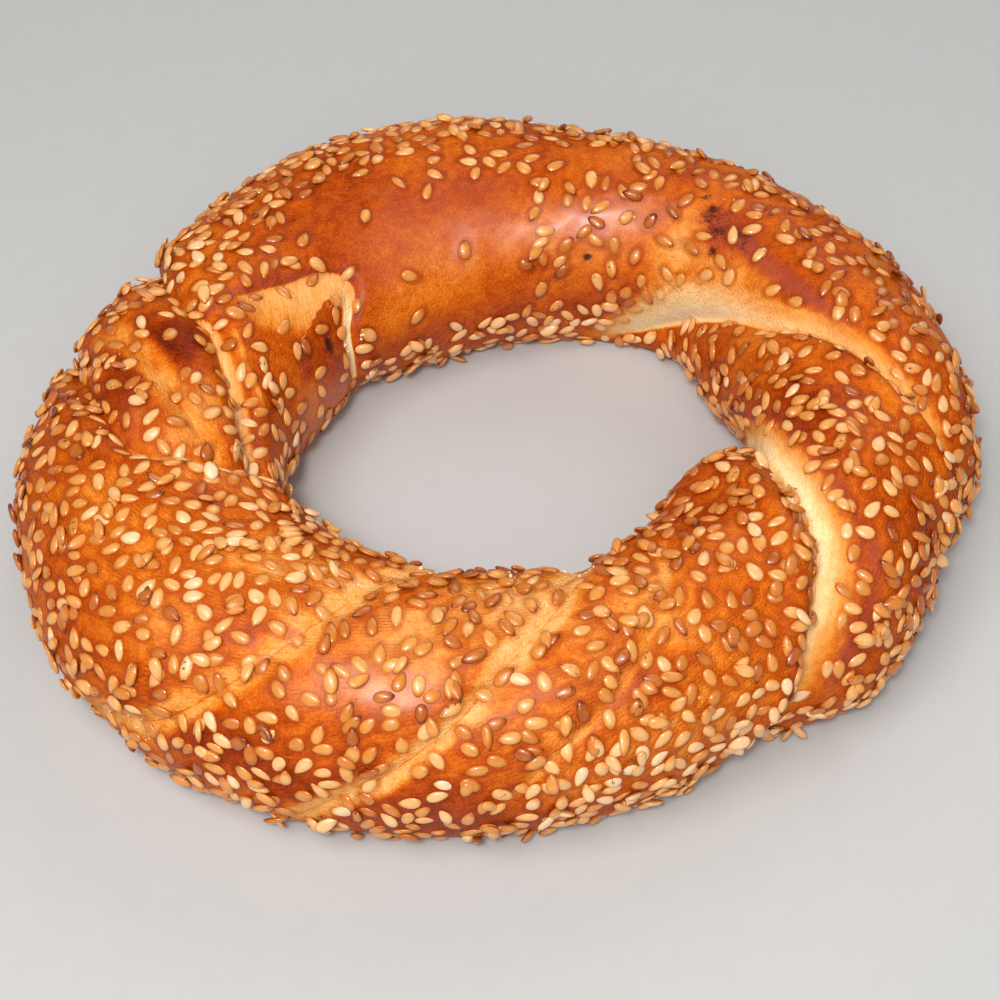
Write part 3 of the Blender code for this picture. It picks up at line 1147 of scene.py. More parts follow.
class SeedKind(Enum):
    """How far a sesame seed is toasted, with the highest toasting of its kind."""

    PALE = 0.35
    GOLDEN = 0.50
    TOASTED = 9.0

    @property
    def piece_name(self) -> str:
        """Return the name of the piece that holds seeds of this kind."""
        return f"seeds_{self.name.lower()}"

    @classmethod
    def of(cls, toast: float) -> "SeedKind":
        """Return the kind of a seed toasted this far."""
        return next(kind for kind in cls if toast <= kind.value)


@dataclass(frozen=True)
class SeedShape:
    """One shape of sesame seed: a plump flat drop, pointed at one end."""

    taper: float
    point: float
    bend: float
    belly: float
    off_middle: float = 0.04
    underside: float = -0.42
    segments: int = 14
    upper_map: tuple[float, float] = (0.34, 0.62)
    under_map: tuple[float, float] = (0.04, 0.24)
    rings: tuple[tuple[float, float], ...] = ((0.38, 0.49), (0.68, 0.39), (0.90, 0.21),
                                              (1.00, -0.04), (0.86, -0.30))

    def mesh(self) -> tuple[SmallMesh, np.ndarray]:
        """Make the seed with length, width and thickness 1, mapped with its underside apart.

        Returns:
            The mesh, and each vertex's place between the top (0), the edge (1) and the
            underside (2).
        """
        angles = np.arange(self.segments) * 2 * math.pi / self.segments
        cosines, sines = np.cos(angles), np.sin(angles)
        tip = (1.0 - cosines) / 2.0
        outline_x = 0.5 * cosines
        outline_y = 0.5 * np.sign(sines) * np.abs(sines) ** (1.0 + self.point * tip ** 2)
        outline_y = outline_y * (1.0 - self.taper * tip)
        outline_y = outline_y / (np.abs(outline_y).max() * 2.0)
        points, levels = [(self.off_middle, 0.0, self.belly)], [0.0]
        for share, height in self.rings:
            for x, y in zip(outline_x, outline_y):
                points.append((x * share + self.off_middle * (1 - share), y * share, height))
                levels.append(share if height > self.rings[-1][1] else 1.5)
        points.append((0.0, 0.0, self.underside))
        levels.append(2.0)
        points = np.array(points)
        points[:, 1] += self.bend * (points[:, 0] ** 2 - 0.1)
        faces, spots = [], []
        count, strips, last = self.segments, len(self.rings) - 1, len(points) - 1
        for step in range(count):
            after = (step + 1) % count
            faces.append((0, 1 + step, 1 + after))
            for ring in range(strips):
                inner, outer = 1 + ring * count, 1 + (ring + 1) * count
                faces.append((inner + step, outer + step, outer + after, inner + after))
            under = 1 + strips * count
            faces.append((under + step, last, under + after))
        for index, face in enumerate(faces):
            under = index % (strips + 2) >= strips
            low, tall = self.under_map if under else self.upper_map
            spots += [(0.05 + 0.90 * x, low + tall * y) for x, y in points[list(face), :2] + 0.5]
        return SmallMesh(points, faces, np.array(spots)), np.array(levels)


@dataclass
class SeedSet:
    """Seeds that have found their place on the crust, one row each."""

    places: np.ndarray
    axes: np.ndarray
    sizes: np.ndarray
    toasts: np.ndarray
    shapes: np.ndarray
    specks: np.ndarray


@dataclass
class Sesame:
    """The sesame that was pressed onto the glazed dough, scattered the same way every run.

    Of all the tries, a seed stays where fewer seeds than wanted lie within the window round it
    and it overlaps none, though a small share may lie on top of others. Where fewer seeds are
    wanted on a square millimetre than the sparse level, more of the tries are left out.
    """

    crust: Crust
    length: float = 0.00318
    width: float = 0.00182
    thickness: float = 0.00088
    size_spread: float = 0.085
    smallest: tuple[float, ...] = (0.0026, 0.0015, 0.00072)
    largest: tuple[float, ...] = (0.0038, 0.0022, 0.00108)
    lean: float = 0.11
    sink: tuple[float, float] = (-0.24, 0.10)
    toast_rise: float = 0.05
    toast_spread: float = 0.15
    toast_limits: tuple[float, float] = (0.02, 0.82)
    dark_share: float = 0.07
    dark_rise: float = 0.24
    speck_share: float = 0.07
    tries: int = 52000
    sparse_level: float = 0.020
    window: float = 0.0045
    touching: float = 0.0036
    loose_crowd: float = 0.9
    overlap_limit: float = 0.10
    stacked_share: float = 0.030
    stacked_crowd: float = 1.25
    stacked_overlap: float = 0.95
    stacked_lean: float = 2.6
    stacked_rise: tuple[float, float] = (0.45, 0.35)
    discs: tuple[tuple[float, float], ...] = ((-0.27, 0.42), (0.0, 0.5), (0.27, 0.42))
    random_seed: int = 7
    highest: float = 0.03410
    blotch_step: float = 0.01
    blotch_turns: tuple[int, int] = (37, 41)
    shapes: tuple[SeedShape, ...] = (
        SeedShape(0.36, 0.10, 0.00, 0.54), SeedShape(0.46, 0.28, 0.08, 0.53),
        SeedShape(0.28, 0.05, -0.06, 0.55), SeedShape(0.50, 0.22, -0.10, 0.52),
        SeedShape(0.22, 0.00, 0.04, 0.51), SeedShape(0.42, 0.40, 0.00, 0.56),
        SeedShape(0.34, 0.12, 0.18, 0.54))
    seeds: SeedSet | None = None
    pieces: list[bpy.types.Object] = field(default_factory=list)

    def scatter(self) -> SeedSet:
        """Find a place for every seed.

        Returns:
            The seeds, none of which lies deep inside another.
        """
        random = np.random.default_rng(self.random_seed)
        points, normals, marks = self.crust.points, self.crust.normals, self.crust.marks
        area, density = self.face_values(points, marks.seeds)
        weight = (area * density).ravel()
        chosen = random.choice(weight.size, size=self.tries, p=weight / weight.sum())
        rows, columns = np.unravel_index(chosen, area.shape)
        share_row, share_column = random.random(self.tries), random.random(self.tries)

        def blend(values: np.ndarray) -> np.ndarray:
            """Blend values between the four corners of each chosen face.

            Args:
                values: The values on the skin's grid.

            Returns:
                The value at each chosen place.
            """
            row_after = (rows + 1) % values.shape[0]
            column_after = (columns + 1) % values.shape[1]
            extra = (slice(None),) + (None,) * (values.ndim - 2)
            a, b = share_row[extra], share_column[extra]
            return (values[rows, columns] * (1 - a) * (1 - b)
                    + values[row_after, columns] * a * (1 - b)
                    + values[row_after, column_after] * a * b
                    + values[rows, column_after] * (1 - a) * b)

        place, normal = blend(points), blend(normals)
        normal /= np.linalg.norm(normal, axis=1, keepdims=True)
        wanted, toast = blend(marks.seeds) * PER_SQUARE_MM, blend(marks.toast)
        return self.settle(random, place, normal, wanted, toast)

    def face_values(self, points: np.ndarray,
                    values: np.ndarray) -> tuple[np.ndarray, np.ndarray]:
        """Measure the faces of the skin.

        Args:
            points: The skin's grid of points.
            values: A value for each point.

        Returns:
            The area of each face, and the mean of its four values.
        """
        ahead, up = np.roll(points, -1, axis=0), np.roll(points, -1, axis=1)
        both = np.roll(ahead, -1, axis=1)
        area = 0.5 * np.linalg.norm(np.cross(both - points, up - ahead), axis=-1)
        next_values = np.roll(values, -1, axis=0)
        mean = (values + next_values + np.roll(values, -1, axis=1)
                + np.roll(next_values, -1, axis=1)) / 4.0
        return area, mean

    def settle(self, random: np.random.Generator, place: np.ndarray, normal: np.ndarray,
               wanted: np.ndarray, toast: np.ndarray) -> SeedSet:
        """Give each seed its size, turn and toasting, and keep those that find room.

        Args:
            random: The source of chance.
            place: Where each seed would lie on the skin.
            normal: The skin's normal there.
            wanted: The seeds wanted on each square metre there.
            toast: The mean toasting there.

        Returns:
            The seeds that stay.
        """
        count = len(place)
        sizes = np.stack([size * random.normal(1.0, self.size_spread, count)
                          for size in (self.length, self.width, self.thickness)], axis=1)
        sizes = np.clip(sizes, self.smallest, self.largest)
        spin = random.uniform(0.0, 2 * math.pi, count)
        lean = random.normal(0.0, 1.0, (count, 2)) * self.lean
        sink = random.uniform(*self.sink, count)
        toasts = toast + self.toast_rise + random.normal(0.0, self.toast_spread, count)
        toasts = toasts + self.dark_rise * (random.random(count) < self.dark_share)
        shape = random.integers(0, len(self.shapes), count)
        luck = random.random(count)
        grid: dict[tuple[int, int, int], list[int]] = {}
        kept: list[int] = []
        directions: list[np.ndarray] = []
        centres: list[np.ndarray] = []
        for index in range(count):
            if luck[index] > (wanted[index] / (self.sparse_level * PER_SQUARE_MM)) ** 3:
                continue
            axes = self.seed_axes(normal[index], spin[index], lean[index])
            centre = place[index] + axes[2] * sizes[index, 2] * sink[index]
            home = tuple(np.floor(centre / self.window).astype(int).tolist())
            close = [other for step in product((-1, 0, 1), repeat=3)
                     for other in grid.get(tuple(a + b for a, b in zip(home, step)), ())]
            if close:
                stacked = luck[index] < self.stacked_share
                others = np.array([centres[other] for other in close])
                gaps = np.linalg.norm(others - centre, axis=1)
                crowd = np.count_nonzero(gaps < self.window) + luck[index] * self.loose_crowd
                limit = wanted[index] * math.pi * self.window ** 2
                if crowd > limit * (self.stacked_crowd if stacked else 1.0):
                    continue
                overlap = self.overlap(centre, axes, sizes[index],
                                       [(centres[other], directions[other], sizes[kept[other]])
                                        for other, gap in zip(close, gaps)
                                        if gap < self.touching])
                if overlap > (self.stacked_overlap if stacked else self.overlap_limit):
                    continue
                if overlap > self.overlap_limit:
                    least, more = self.stacked_rise
                    centre = centre + axes[2] * self.thickness * (least + more * overlap)
                    axes = self.seed_axes(normal[index], spin[index],
                                          lean[index] * self.stacked_lean)
            grid.setdefault(home, []).append(len(kept))
            kept.append(index)
            directions.append(axes)
            centres.append(centre)
        specked = random.random(len(kept)) < self.speck_share
        return SeedSet(np.array(centres), np.array(directions), sizes[kept],
                       np.clip(toasts, *self.toast_limits)[kept], shape[kept],
                       np.where(specked, random.random(len(kept)), 0.0))

    def seed_axes(self, normal: np.ndarray, spin: float, lean: np.ndarray) -> np.ndarray:
        """Turn one seed on the skin.

        Args:
            normal: The skin's normal under the seed.
            spin: How far the seed is turned on the skin, in radians.
            lean: How much it leans along and across its length.

        Returns:
            Its length, width and thickness directions as rows.
        """
        helper = np.array([0.0, 0.0, 1.0]) if abs(normal[2]) < 0.9 else np.array([1.0, 0.0, 0.0])
        first = np.cross(helper, normal)
        first /= np.linalg.norm(first)
        second = np.cross(normal, first)
        length = first * math.cos(spin) + second * math.sin(spin) + normal * lean[0]
        length /= np.linalg.norm(length)
        up = normal + (second * math.cos(spin) - first * math.sin(spin)) * lean[1]
        up -= length * np.dot(up, length)
        up /= np.linalg.norm(up)
        return np.stack([length, np.cross(up, length), up])

    def overlap(self, centre: np.ndarray, axes: np.ndarray, size: np.ndarray,
                others: list[tuple[np.ndarray, np.ndarray, np.ndarray]]) -> float:
        """Work out how far a seed would lie over its neighbours, as three discs in a row.

        Args:
            centre: The seed's middle.
            axes: Its directions.
            size: Its length, width and thickness.
            others: The same three for each neighbour.

        Returns:
            The worst overlap, from 0 to 1.
        """
        worst = 0.0
        for other_centre, other_axes, other_size in others:
            for (near, wide), (far, other_wide) in product(self.discs, repeat=2):
                spot = centre + axes[0] * size[0] * near
                other = other_centre + other_axes[0] * other_size[0] * far
                reach = size[1] * wide + other_size[1] * other_wide
                worst = max(worst, 1.0 - float(np.linalg.norm(spot - other)) / reach)
        return worst

    def build(self) -> None:
        """Scatter the seeds, build one joined piece of each kind and press them in."""
        self.seeds = self.scatter()
        kinds = [SeedKind.of(toast) for toast in self.seeds.toasts]
        for kind in SeedKind:
            piece = self.join(kind, [index for index, own in enumerate(kinds) if own is kind])
            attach(piece, BODY)
            self.pieces.append(piece)
        self.crust.press_round(self.seeds)

    def dress(self) -> None:
        """Give the seeds of every kind their finish."""
        for piece in self.pieces:
            SeedFinish().dress(piece)

    def join(self, kind: SeedKind, members: list[int]) -> bpy.types.Object:
        """Join the members' meshes into one piece.

        Args:
            kind: The kind of seed.
            members: The rows of the seeds that belong to it.

        Returns:
            The piece.
        """
        seeds, batch = self.seeds, Batch(kind.piece_name, len(members))
        turn_x, turn_y = self.blotch_turns
        models = [shape.mesh() for shape in self.shapes]
        for seed in members:
            model, levels = models[seeds.shapes[seed]]
            local = model.points * seeds.sizes[seed]
            world = seeds.places[seed] + local @ seeds.axes[seed]
            world[:, 2] -= max(0.0, world[:, 2].max() - self.highest)
            blotch = self.blotch_step * np.array([seed % turn_x, seed % turn_y, 0])
            batch.add(model, world, toast=seeds.toasts[seed],
                      tip=np.clip(0.5 - model.points[:, 0], 0.0, 1.0), level=levels,
                      speck=seeds.specks[seed], seed_at=local + blotch)
        return batch.join()


@dataclass(frozen=True)
class CrumbSite:
    """A place where crumbs stick: how many, how far they spread in mm, and their looks."""

    ring_angle: float
    strand_angle: float
    count: int
    spread: float
    size: float
    browning: float


@dataclass
class Crumbs:
    """Broken bits of crust and seed that stick to the glaze."""

    crust: Crust
    random_seed: int = 23
    sites: tuple[CrumbSite, ...] = (
        CrumbSite(150, 206, 6, 2.2, 0.80, 0.62),
        CrumbSite(144, 204, 3, 1.5, 0.60, 0.55),
        CrumbSite(352, 43, 7, 1.5, 0.75, 0.06),
        CrumbSite(350, 20, 4, 2.0, 0.60, 0.10),
        CrumbSite(272, 128, 6, 2.5, 0.65, 0.10),
        CrumbSite(254, 140, 7, 2.0, 0.60, 0.12),
        CrumbSite(286, 128, 6, 2.5, 0.60, 0.10),
        CrumbSite(331, 97, 5, 2.0, 0.50, 0.55),
        CrumbSite(143, 165, 8, 2.5, 0.55, 0.06),
        CrumbSite(205, 110, 6, 2.5, 0.50, 0.20),
        CrumbSite(10, 108, 8, 5.0, 0.45, 0.20),
        CrumbSite(228, 0, 6, 3.5, 0.50, 0.22),
        CrumbSite(300, 60, 12, 14.0, 0.40, 0.45),
        CrumbSite(40, 60, 10, 14.0, 0.40, 0.45),
        CrumbSite(110, 50, 10, 14.0, 0.40, 0.35),
        CrumbSite(190, 60, 10, 12.0, 0.40, 0.35))
    size_range: tuple[float, float] = (0.55, 1.35)
    flatness: tuple[float, ...] = (1.0, 0.75, 0.55)
    lump_cell: float = 0.55
    uneven: float = 0.28
    proud: float = 0.28
    tone_spread: float = 0.06
    piece: bpy.types.Object | None = None

    def build(self) -> None:
        """Build all crumbs as one joined piece."""
        random = np.random.default_rng(self.random_seed)
        model = self.ball()
        batch = Batch("crumbs", sum(site.count for site in self.sites))
        flat_points = self.crust.points.reshape(-1, 3)
        flat_normals = self.crust.normals.reshape(-1, 3)
        for site in self.sites:
            away = self.away(site)
            near = np.flatnonzero(away < site.spread * MM)
            near = near if len(near) >= 4 else np.argsort(away)[:4]
            for vertex in random.choice(near, size=site.count):
                size = site.size * MM * random.uniform(*self.size_range) * np.array(self.flatness)
                lumps = Lumps(self.lump_cell, 70 + len(batch.points)).at(model.points)
                lump = model.points * (1.0 + self.uneven * lumps[:, None])
                turn = np.linalg.qr(random.normal(size=(3, 3)))[0]
                local = (lump * size / 2.0) @ turn
                centre = flat_points[vertex] + flat_normals[vertex] * size[2] * self.proud
                batch.add(model, centre + local,
                          browning=site.browning + random.normal(0.0, self.tone_spread))
        self.piece = batch.join()
        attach(self.piece, BODY)

    def dress(self) -> None:
        """Give the crumbs their finish."""
        CrumbFinish().dress(self.piece)

    def away(self, site: CrumbSite) -> np.ndarray:
        """Return how far each point of the crust is from the site."""
        along, across = self.crust.lie.offset(site.ring_angle, site.strand_angle)
        return np.hypot(along, across).ravel()

    def ball(self) -> SmallMesh:
        """Make a faceted ball of radius 1, mapped as two halves side by side.

        Returns:
            The ball.
        """
        golden = (1.0 + math.sqrt(5.0)) / 2.0
        points = [Vector(point).normalized() for point in (
            (-1, golden, 0), (1, golden, 0), (-1, -golden, 0), (1, -golden, 0),
            (0, -1, golden), (0, 1, golden), (0, -1, -golden), (0, 1, -golden),
            (golden, 0, -1), (golden, 0, 1), (-golden, 0, -1), (-golden, 0, 1))]
        faces = [(0, 11, 5), (0, 5, 1), (0, 1, 7), (0, 7, 10), (0, 10, 11), (1, 5, 9),
                 (5, 11, 4), (11, 10, 2), (10, 7, 6), (7, 1, 8), (3, 9, 4), (3, 4, 2),
                 (3, 2, 6), (3, 6, 8), (3, 8, 9), (4, 9, 5), (2, 4, 11), (6, 2, 10),
                 (8, 6, 7), (9, 8, 1)]
        middles: dict[tuple[int, int], int] = {}

        def middle(one: int, two: int) -> int:
            """Find or add the vertex halfway between two others, on the ball.

            Args:
                one: The first vertex.
                two: The second.

            Returns:
                The number of the vertex between them.
            """
            key = (min(one, two), max(one, two))
            if key not in middles:
                middles[key] = len(points)
                points.append(((points[one] + points[two]) / 2.0).normalized())
            return middles[key]

        finer, spots = [], []
        for a, b, c in faces:
            ab, bc, ca = middle(a, b), middle(b, c), middle(c, a)
            finer += [(a, ab, ca), (b, bc, ab), (c, ca, bc), (ab, bc, ca)]
        ball = np.array([tuple(point) for point in points])
        for face in finer:
            side = 0.5 if sum(ball[corner, 2] for corner in face) < 0.0 else 0.0
            spots += [(side + 0.03 + 0.44 * x, 0.05 + 0.90 * y)
                      for x, y in ball[list(face), :2] * 0.5 + 0.5]
        return SmallMesh(ball, finer, np.array(spots))


# ---- Shader maths

@dataclass(frozen=True)
class Signal:
    """A value or colour that runs through a shader, with plain arithmetic on values."""

    sheet: "ShaderSheet"
    socket: bpy.types.NodeSocket

    def _math(self, operation: str, *terms: "Signal | float") -> "Signal":
        """Return the result of one Math node on the terms."""
        return self.sheet.node("ShaderNodeMath", {"operation": operation},
                               dict(enumerate(terms)))

    def __add__(self, other: "Signal | float") -> "Signal":
        """Return the sum."""
        return self._math("ADD", self, other)

    def __radd__(self, other: float) -> "Signal":
        """Return the sum with a number in front."""
        return self._math("ADD", other, self)

    def __sub__(self, other: "Signal | float") -> "Signal":
        """Return the difference."""
        return self._math("SUBTRACT", self, other)

    def __rsub__(self, other: float) -> "Signal":
        """Return the difference from a number."""
        return self._math("SUBTRACT", other, self)

    def __mul__(self, other: "Signal | float") -> "Signal":
        """Return the product."""
        return self._math("MULTIPLY", self, other)

    def __rmul__(self, other: float) -> "Signal":
        """Return the product with a number in front."""
        return self._math("MULTIPLY", other, self)

    def __abs__(self) -> "Signal":
        """Return the value without its sign."""
        return self._math("ABSOLUTE", self)

    def step(self, low: float, high: float) -> "Signal":
        """Return a smooth step from 0 at low to 1 at high."""
        return self.sheet.node("ShaderNodeMapRange", {"interpolation_type": "SMOOTHSTEP"},
                               {"Value": self, "From Min": low, "From Max": high})

    def kept(self, low: float = 0.0, high: float = 1.0) -> "Signal":
        """Return the value held between two limits."""
        return self.sheet.node("ShaderNodeClamp", {}, {"Value": self, "Min": low, "Max": high})


class ShaderSheet:
    """One material's nodes, round its Principled shader."""

    def __init__(self, name: str) -> None:
        """Start a material with a bare Principled shader.

        Args:
            name: The material's name.
        """
        self.material = bpy.data.materials.new(name)
        self.material.use_nodes = True
        self.nodes = self.material.node_tree.nodes
        self.links = self.material.node_tree.links
        self.shader = self.nodes["Principled BSDF"]

    def node(self, kind: str, settings: dict, sockets: dict, out: int | str = 0) -> Signal:
        """Add one node.

        Args:
            kind: The node's type.
            settings: What is set on the node before its sockets, such as a Math node's
                operation, or "stops" with a ramp's positions and colours.
            sockets: The values or signals of its input sockets, by number, identifier or name.
            out: The output wanted.

        Returns:
            The output's signal.
        """
        node = self.nodes.new(kind)
        for name, value in settings.items():
            if name == "stops":
                self._set_stops(node.color_ramp, value)
            else:
                setattr(node, name, value)
        for name, value in sockets.items():
            self._feed(self._socket(node.inputs, name), value)
        return Signal(self, self._socket(node.outputs, out))

    def _set_stops(self, ramp: bpy.types.ColorRamp, stops: tuple) -> None:
        """Set a ramp's stops from its first to its last.

        Args:
            ramp: The ramp.
            stops: The position and colour of each stop.
        """
        while len(ramp.elements) < len(stops):
            ramp.elements.new(1.0)
        for element, (position, colour) in zip(ramp.elements, stops):
            element.position = position
            element.color = colour

    def _socket(self, sockets: bpy.types.NodeInputs, name: int | str) -> bpy.types.NodeSocket:
        """Find one socket.

        Args:
            sockets: A node's inputs or outputs.
            name: The socket's number, identifier or name.

        Returns:
            The socket.
        """
        if isinstance(name, int):
            return sockets[name]
        return next((socket for socket in sockets if socket.identifier == name), None) \
            or sockets[name]

    def _feed(self, socket: bpy.types.NodeSocket, value: "Signal | float | tuple") -> None:
        """Link a signal to a socket, or set a plain value on it.

        Args:
            socket: The input socket.
            value: The signal or plain value.
        """
        if isinstance(value, Signal):
            self.links.new(value.socket, socket)
        else:
            socket.default_value = value

    def mark(self, name: str) -> Signal:
        """Return one of the mesh's named values."""
        return self.node("ShaderNodeAttribute", {"attribute_name": name}, {}, "Fac")

    def mark_vector(self, name: str) -> Signal:
        """Return one of the mesh's named vectors."""
        return self.node("ShaderNodeAttribute", {"attribute_name": name}, {}, "Vector")

    def place(self) -> Signal:
        """Return the position on the object in metres."""
        return self.node("ShaderNodeTexCoord", {}, {}, "Object")

    def noise(self, vector: Signal, size: float, detail: float = 2.0,
              rough: float = 0.6) -> Signal:
        """Make cloudy noise.

        Args:
            vector: The positions.
            size: The size of its lumps in metres.
            detail: How many finer layers it has.
            rough: How strong these are.

        Returns:
            The noise, mostly from 0.3 to 0.7.
        """
        return self.node("ShaderNodeTexNoise", {"noise_dimensions": "3D"},
                         {"Vector": vector, "Scale": 1.0 / size, "Detail": detail,
                          "Roughness": rough})

    def cells(self, vector: Signal, size: float) -> Signal:
        """Return the distance to the nearest of many scattered points."""
        return self.node("ShaderNodeTexVoronoi", {"feature": "F1"},
                         {"Vector": vector, "Scale": 1.0 / size}, "Distance")

    def ramp(self, value: Signal, stops: tuple) -> Signal:
        """Return the colour that a ramp gives the value."""
        return self.node("ShaderNodeValToRGB", {"stops": stops}, {"Fac": value})

    def mix(self, share: Signal | float, one: Signal | tuple, two: Signal | tuple) -> Signal:
        """Mix two colours.

        Args:
            share: The second colour's share.
            one: The first colour.
            two: The second colour.

        Returns:
            The mixed colour.
        """
        return self.node("ShaderNodeMix", {"data_type": "RGBA", "clamp_factor": True},
                         {"Factor_Float": share, "A_Color": one, "B_Color": two},
                         "Result_Color")

    def bump(self, height: Signal) -> Signal:
        """Return the normal that a height in millimetres gives."""
        return self.node("ShaderNodeBump", {},
                         {"Strength": 1.0, "Distance": MM, "Height": height}, "Normal")

    def finish(self, piece: bpy.types.Object, **sockets: "Signal | float | tuple") -> None:
        """Feed the shader's own sockets and give the material to the piece.

        Args:
            piece: The piece to dress.
            **sockets: The values or signals of the shader's sockets, by name.
        """
        for name, value in sockets.items():
            self._feed(self.shader.inputs[name.replace("_", " ")], value)
        piece.data.materials.clear()
        piece.data.materials.append(self.material)


# ---- Finishes

@dataclass(frozen=True)
class CrustFinish:
    """Egg-and-molasses glaze over baked dough, from cream where it tore to red-brown."""

    stops: tuple = (
        (0.00, shade(255, 234, 190)),
        (0.14, shade(252, 212, 148)),
        (0.28, shade(243, 176, 102)),
        (0.42, shade(233, 146, 58)),
        (0.55, shade(216, 110, 22)),
        (0.68, shade(190, 80, 8)),
        (0.82, shade(150, 48, 2)),
        (1.00, shade(84, 24, 6)))
    rose: tuple = shade(176, 84, 64)
    soot: tuple = shade(38, 22, 20)
    # Glaze colour; round the seeds it also stands for painted contact shade.
    glaze: tuple = shade(150, 56, 4)
    cloud_size: float = 0.0060
    mottle_size: float = 0.0013
    grit_size: float = 0.00034
    leather_size: float = 0.00050
    strand_size: float = 0.0010
    fine_strand_size: float = 0.00034
    hair_size: float = 0.0019
    fleck_spacing: float = 0.0021

    def dress(self, piece: bpy.types.Object) -> None:
        """Give the crust its material.

        Args:
            piece: The crust.
        """
        sheet = ShaderSheet("baked_crust")
        place, grain = sheet.place(), sheet.mark_vector("grain_at")
        torn, band, gloss = sheet.mark("torn"), sheet.mark("band"), sheet.mark("gloss")
        clouds = sheet.noise(place, self.cloud_size, rough=0.55)
        mottle = sheet.noise(place, self.mottle_size)
        grit = sheet.noise(place, self.grit_size)
        strands = sheet.noise(grain, self.strand_size)
        fine_strands = sheet.noise(grain, self.fine_strand_size)
        leather = sheet.cells(place, self.leather_size).step(0.05, 0.50)
        hairs = abs(sheet.noise(grain, self.hair_size, 1.0, 0.5) - 0.5).step(0.030, 0.004)
        # Round each seed the crust is glossier, raised and darker: the darkening is glaze and
        # painted contact shade where the seed meets the crust.
        seed_glaze_and_shade = sheet.mark("seed_gap").step(0.62, 0.02)
        fold = abs(sheet.mark("line_gap") + (clouds - 0.5) * 0.8).step(0.20, 0.04)
        fold = fold * sheet.mark("line") * clouds.step(0.36, 0.52)

        browning = (sheet.mark("browning")
                    + (clouds - 0.5) * 0.28
                    + (mottle - 0.5) * 0.24
                    + (grit - 0.5) * 0.30
                    + (leather - 0.5) * 0.07
                    + seed_glaze_and_shade * 0.07)
        across = sheet.mark("tear_at") + (mottle - 0.5) * 0.26 + (strands - 0.5) * 0.26
        bare = across.step(*TEAR_END) * across.step(*TEAR_START) * sheet.mark("tear_cover")
        tone = sheet.mark("tear_tone") + (mottle - 0.5) * 0.16 + (grit - 0.5) * 0.12
        browning = browning + (tone - browning) * bare
        browning = (browning + (strands - 0.5) * (0.01 + band * 0.12 + bare * 0.16)
                    + (fine_strands - 0.5) * (0.01 + band * 0.08 + bare * 0.10)
                    + hairs * band * 0.05 + fold * 0.10)
        colour = sheet.ramp(browning.kept(), self.stops)
        rose = sheet.mark("rose") * (0.55 + 0.9 * (mottle - 0.5) + 0.5 * clouds)
        colour = sheet.mix((rose * (1.0 - bare * 0.45)).kept(0.0, 0.85), colour, self.rose)
        # Glaze colour laid round the seeds, partly painted contact shade.
        colour = sheet.mix((seed_glaze_and_shade * (0.36 - bare * 0.22)).kept(), colour, self.glaze)
        scorch = sheet.mark("scorch")
        burnt = (scorch * 2.2 - 0.80 + (mottle - 0.5) * 1.9 + (grit - 0.5) * 1.3).step(-0.1, 0.95)
        burnt = burnt * scorch.step(0.04, 0.20)
        colour = sheet.mix(burnt * 0.90, colour, self.soot)
        flecks = (sheet.cells(place, self.fleck_spacing).step(0.085, 0.05)
                  * clouds.step(0.50, 0.62))
        colour = sheet.mix(flecks * (1.0 - bare) * 0.55, colour, self.soot)

        rough = (0.50 + bare * 0.30 + band * 0.08 - gloss * 0.12 - seed_glaze_and_shade * 0.08
                 + (mottle - 0.5) * 0.18 + (grit - 0.5) * 0.10)
        height = ((grit * 0.140 + mottle * 0.070 + leather * 0.085) * (1.0 - gloss * 0.40)
                  + strands * (0.012 + band * 0.050 + bare * 0.045 + gloss * 0.020)
                  + fine_strands * (0.008 + band * 0.024 + gloss * 0.030 + bare * 0.020)
                  - hairs * band * 0.025 - fold * 0.07 + seed_glaze_and_shade * 0.10)
        coat = 0.08 + gloss * 0.78 + seed_glaze_and_shade * 0.14 - bare * 0.08 - torn * 0.05
        sheet.finish(piece, Base_Color=colour, Roughness=rough.kept(0.2, 1.0),
                     Normal=sheet.bump(height), Specular_IOR_Level=0.05, IOR=1.40,
                     Coat_Weight=coat.kept(), Coat_Roughness=0.31, Coat_IOR=1.50)


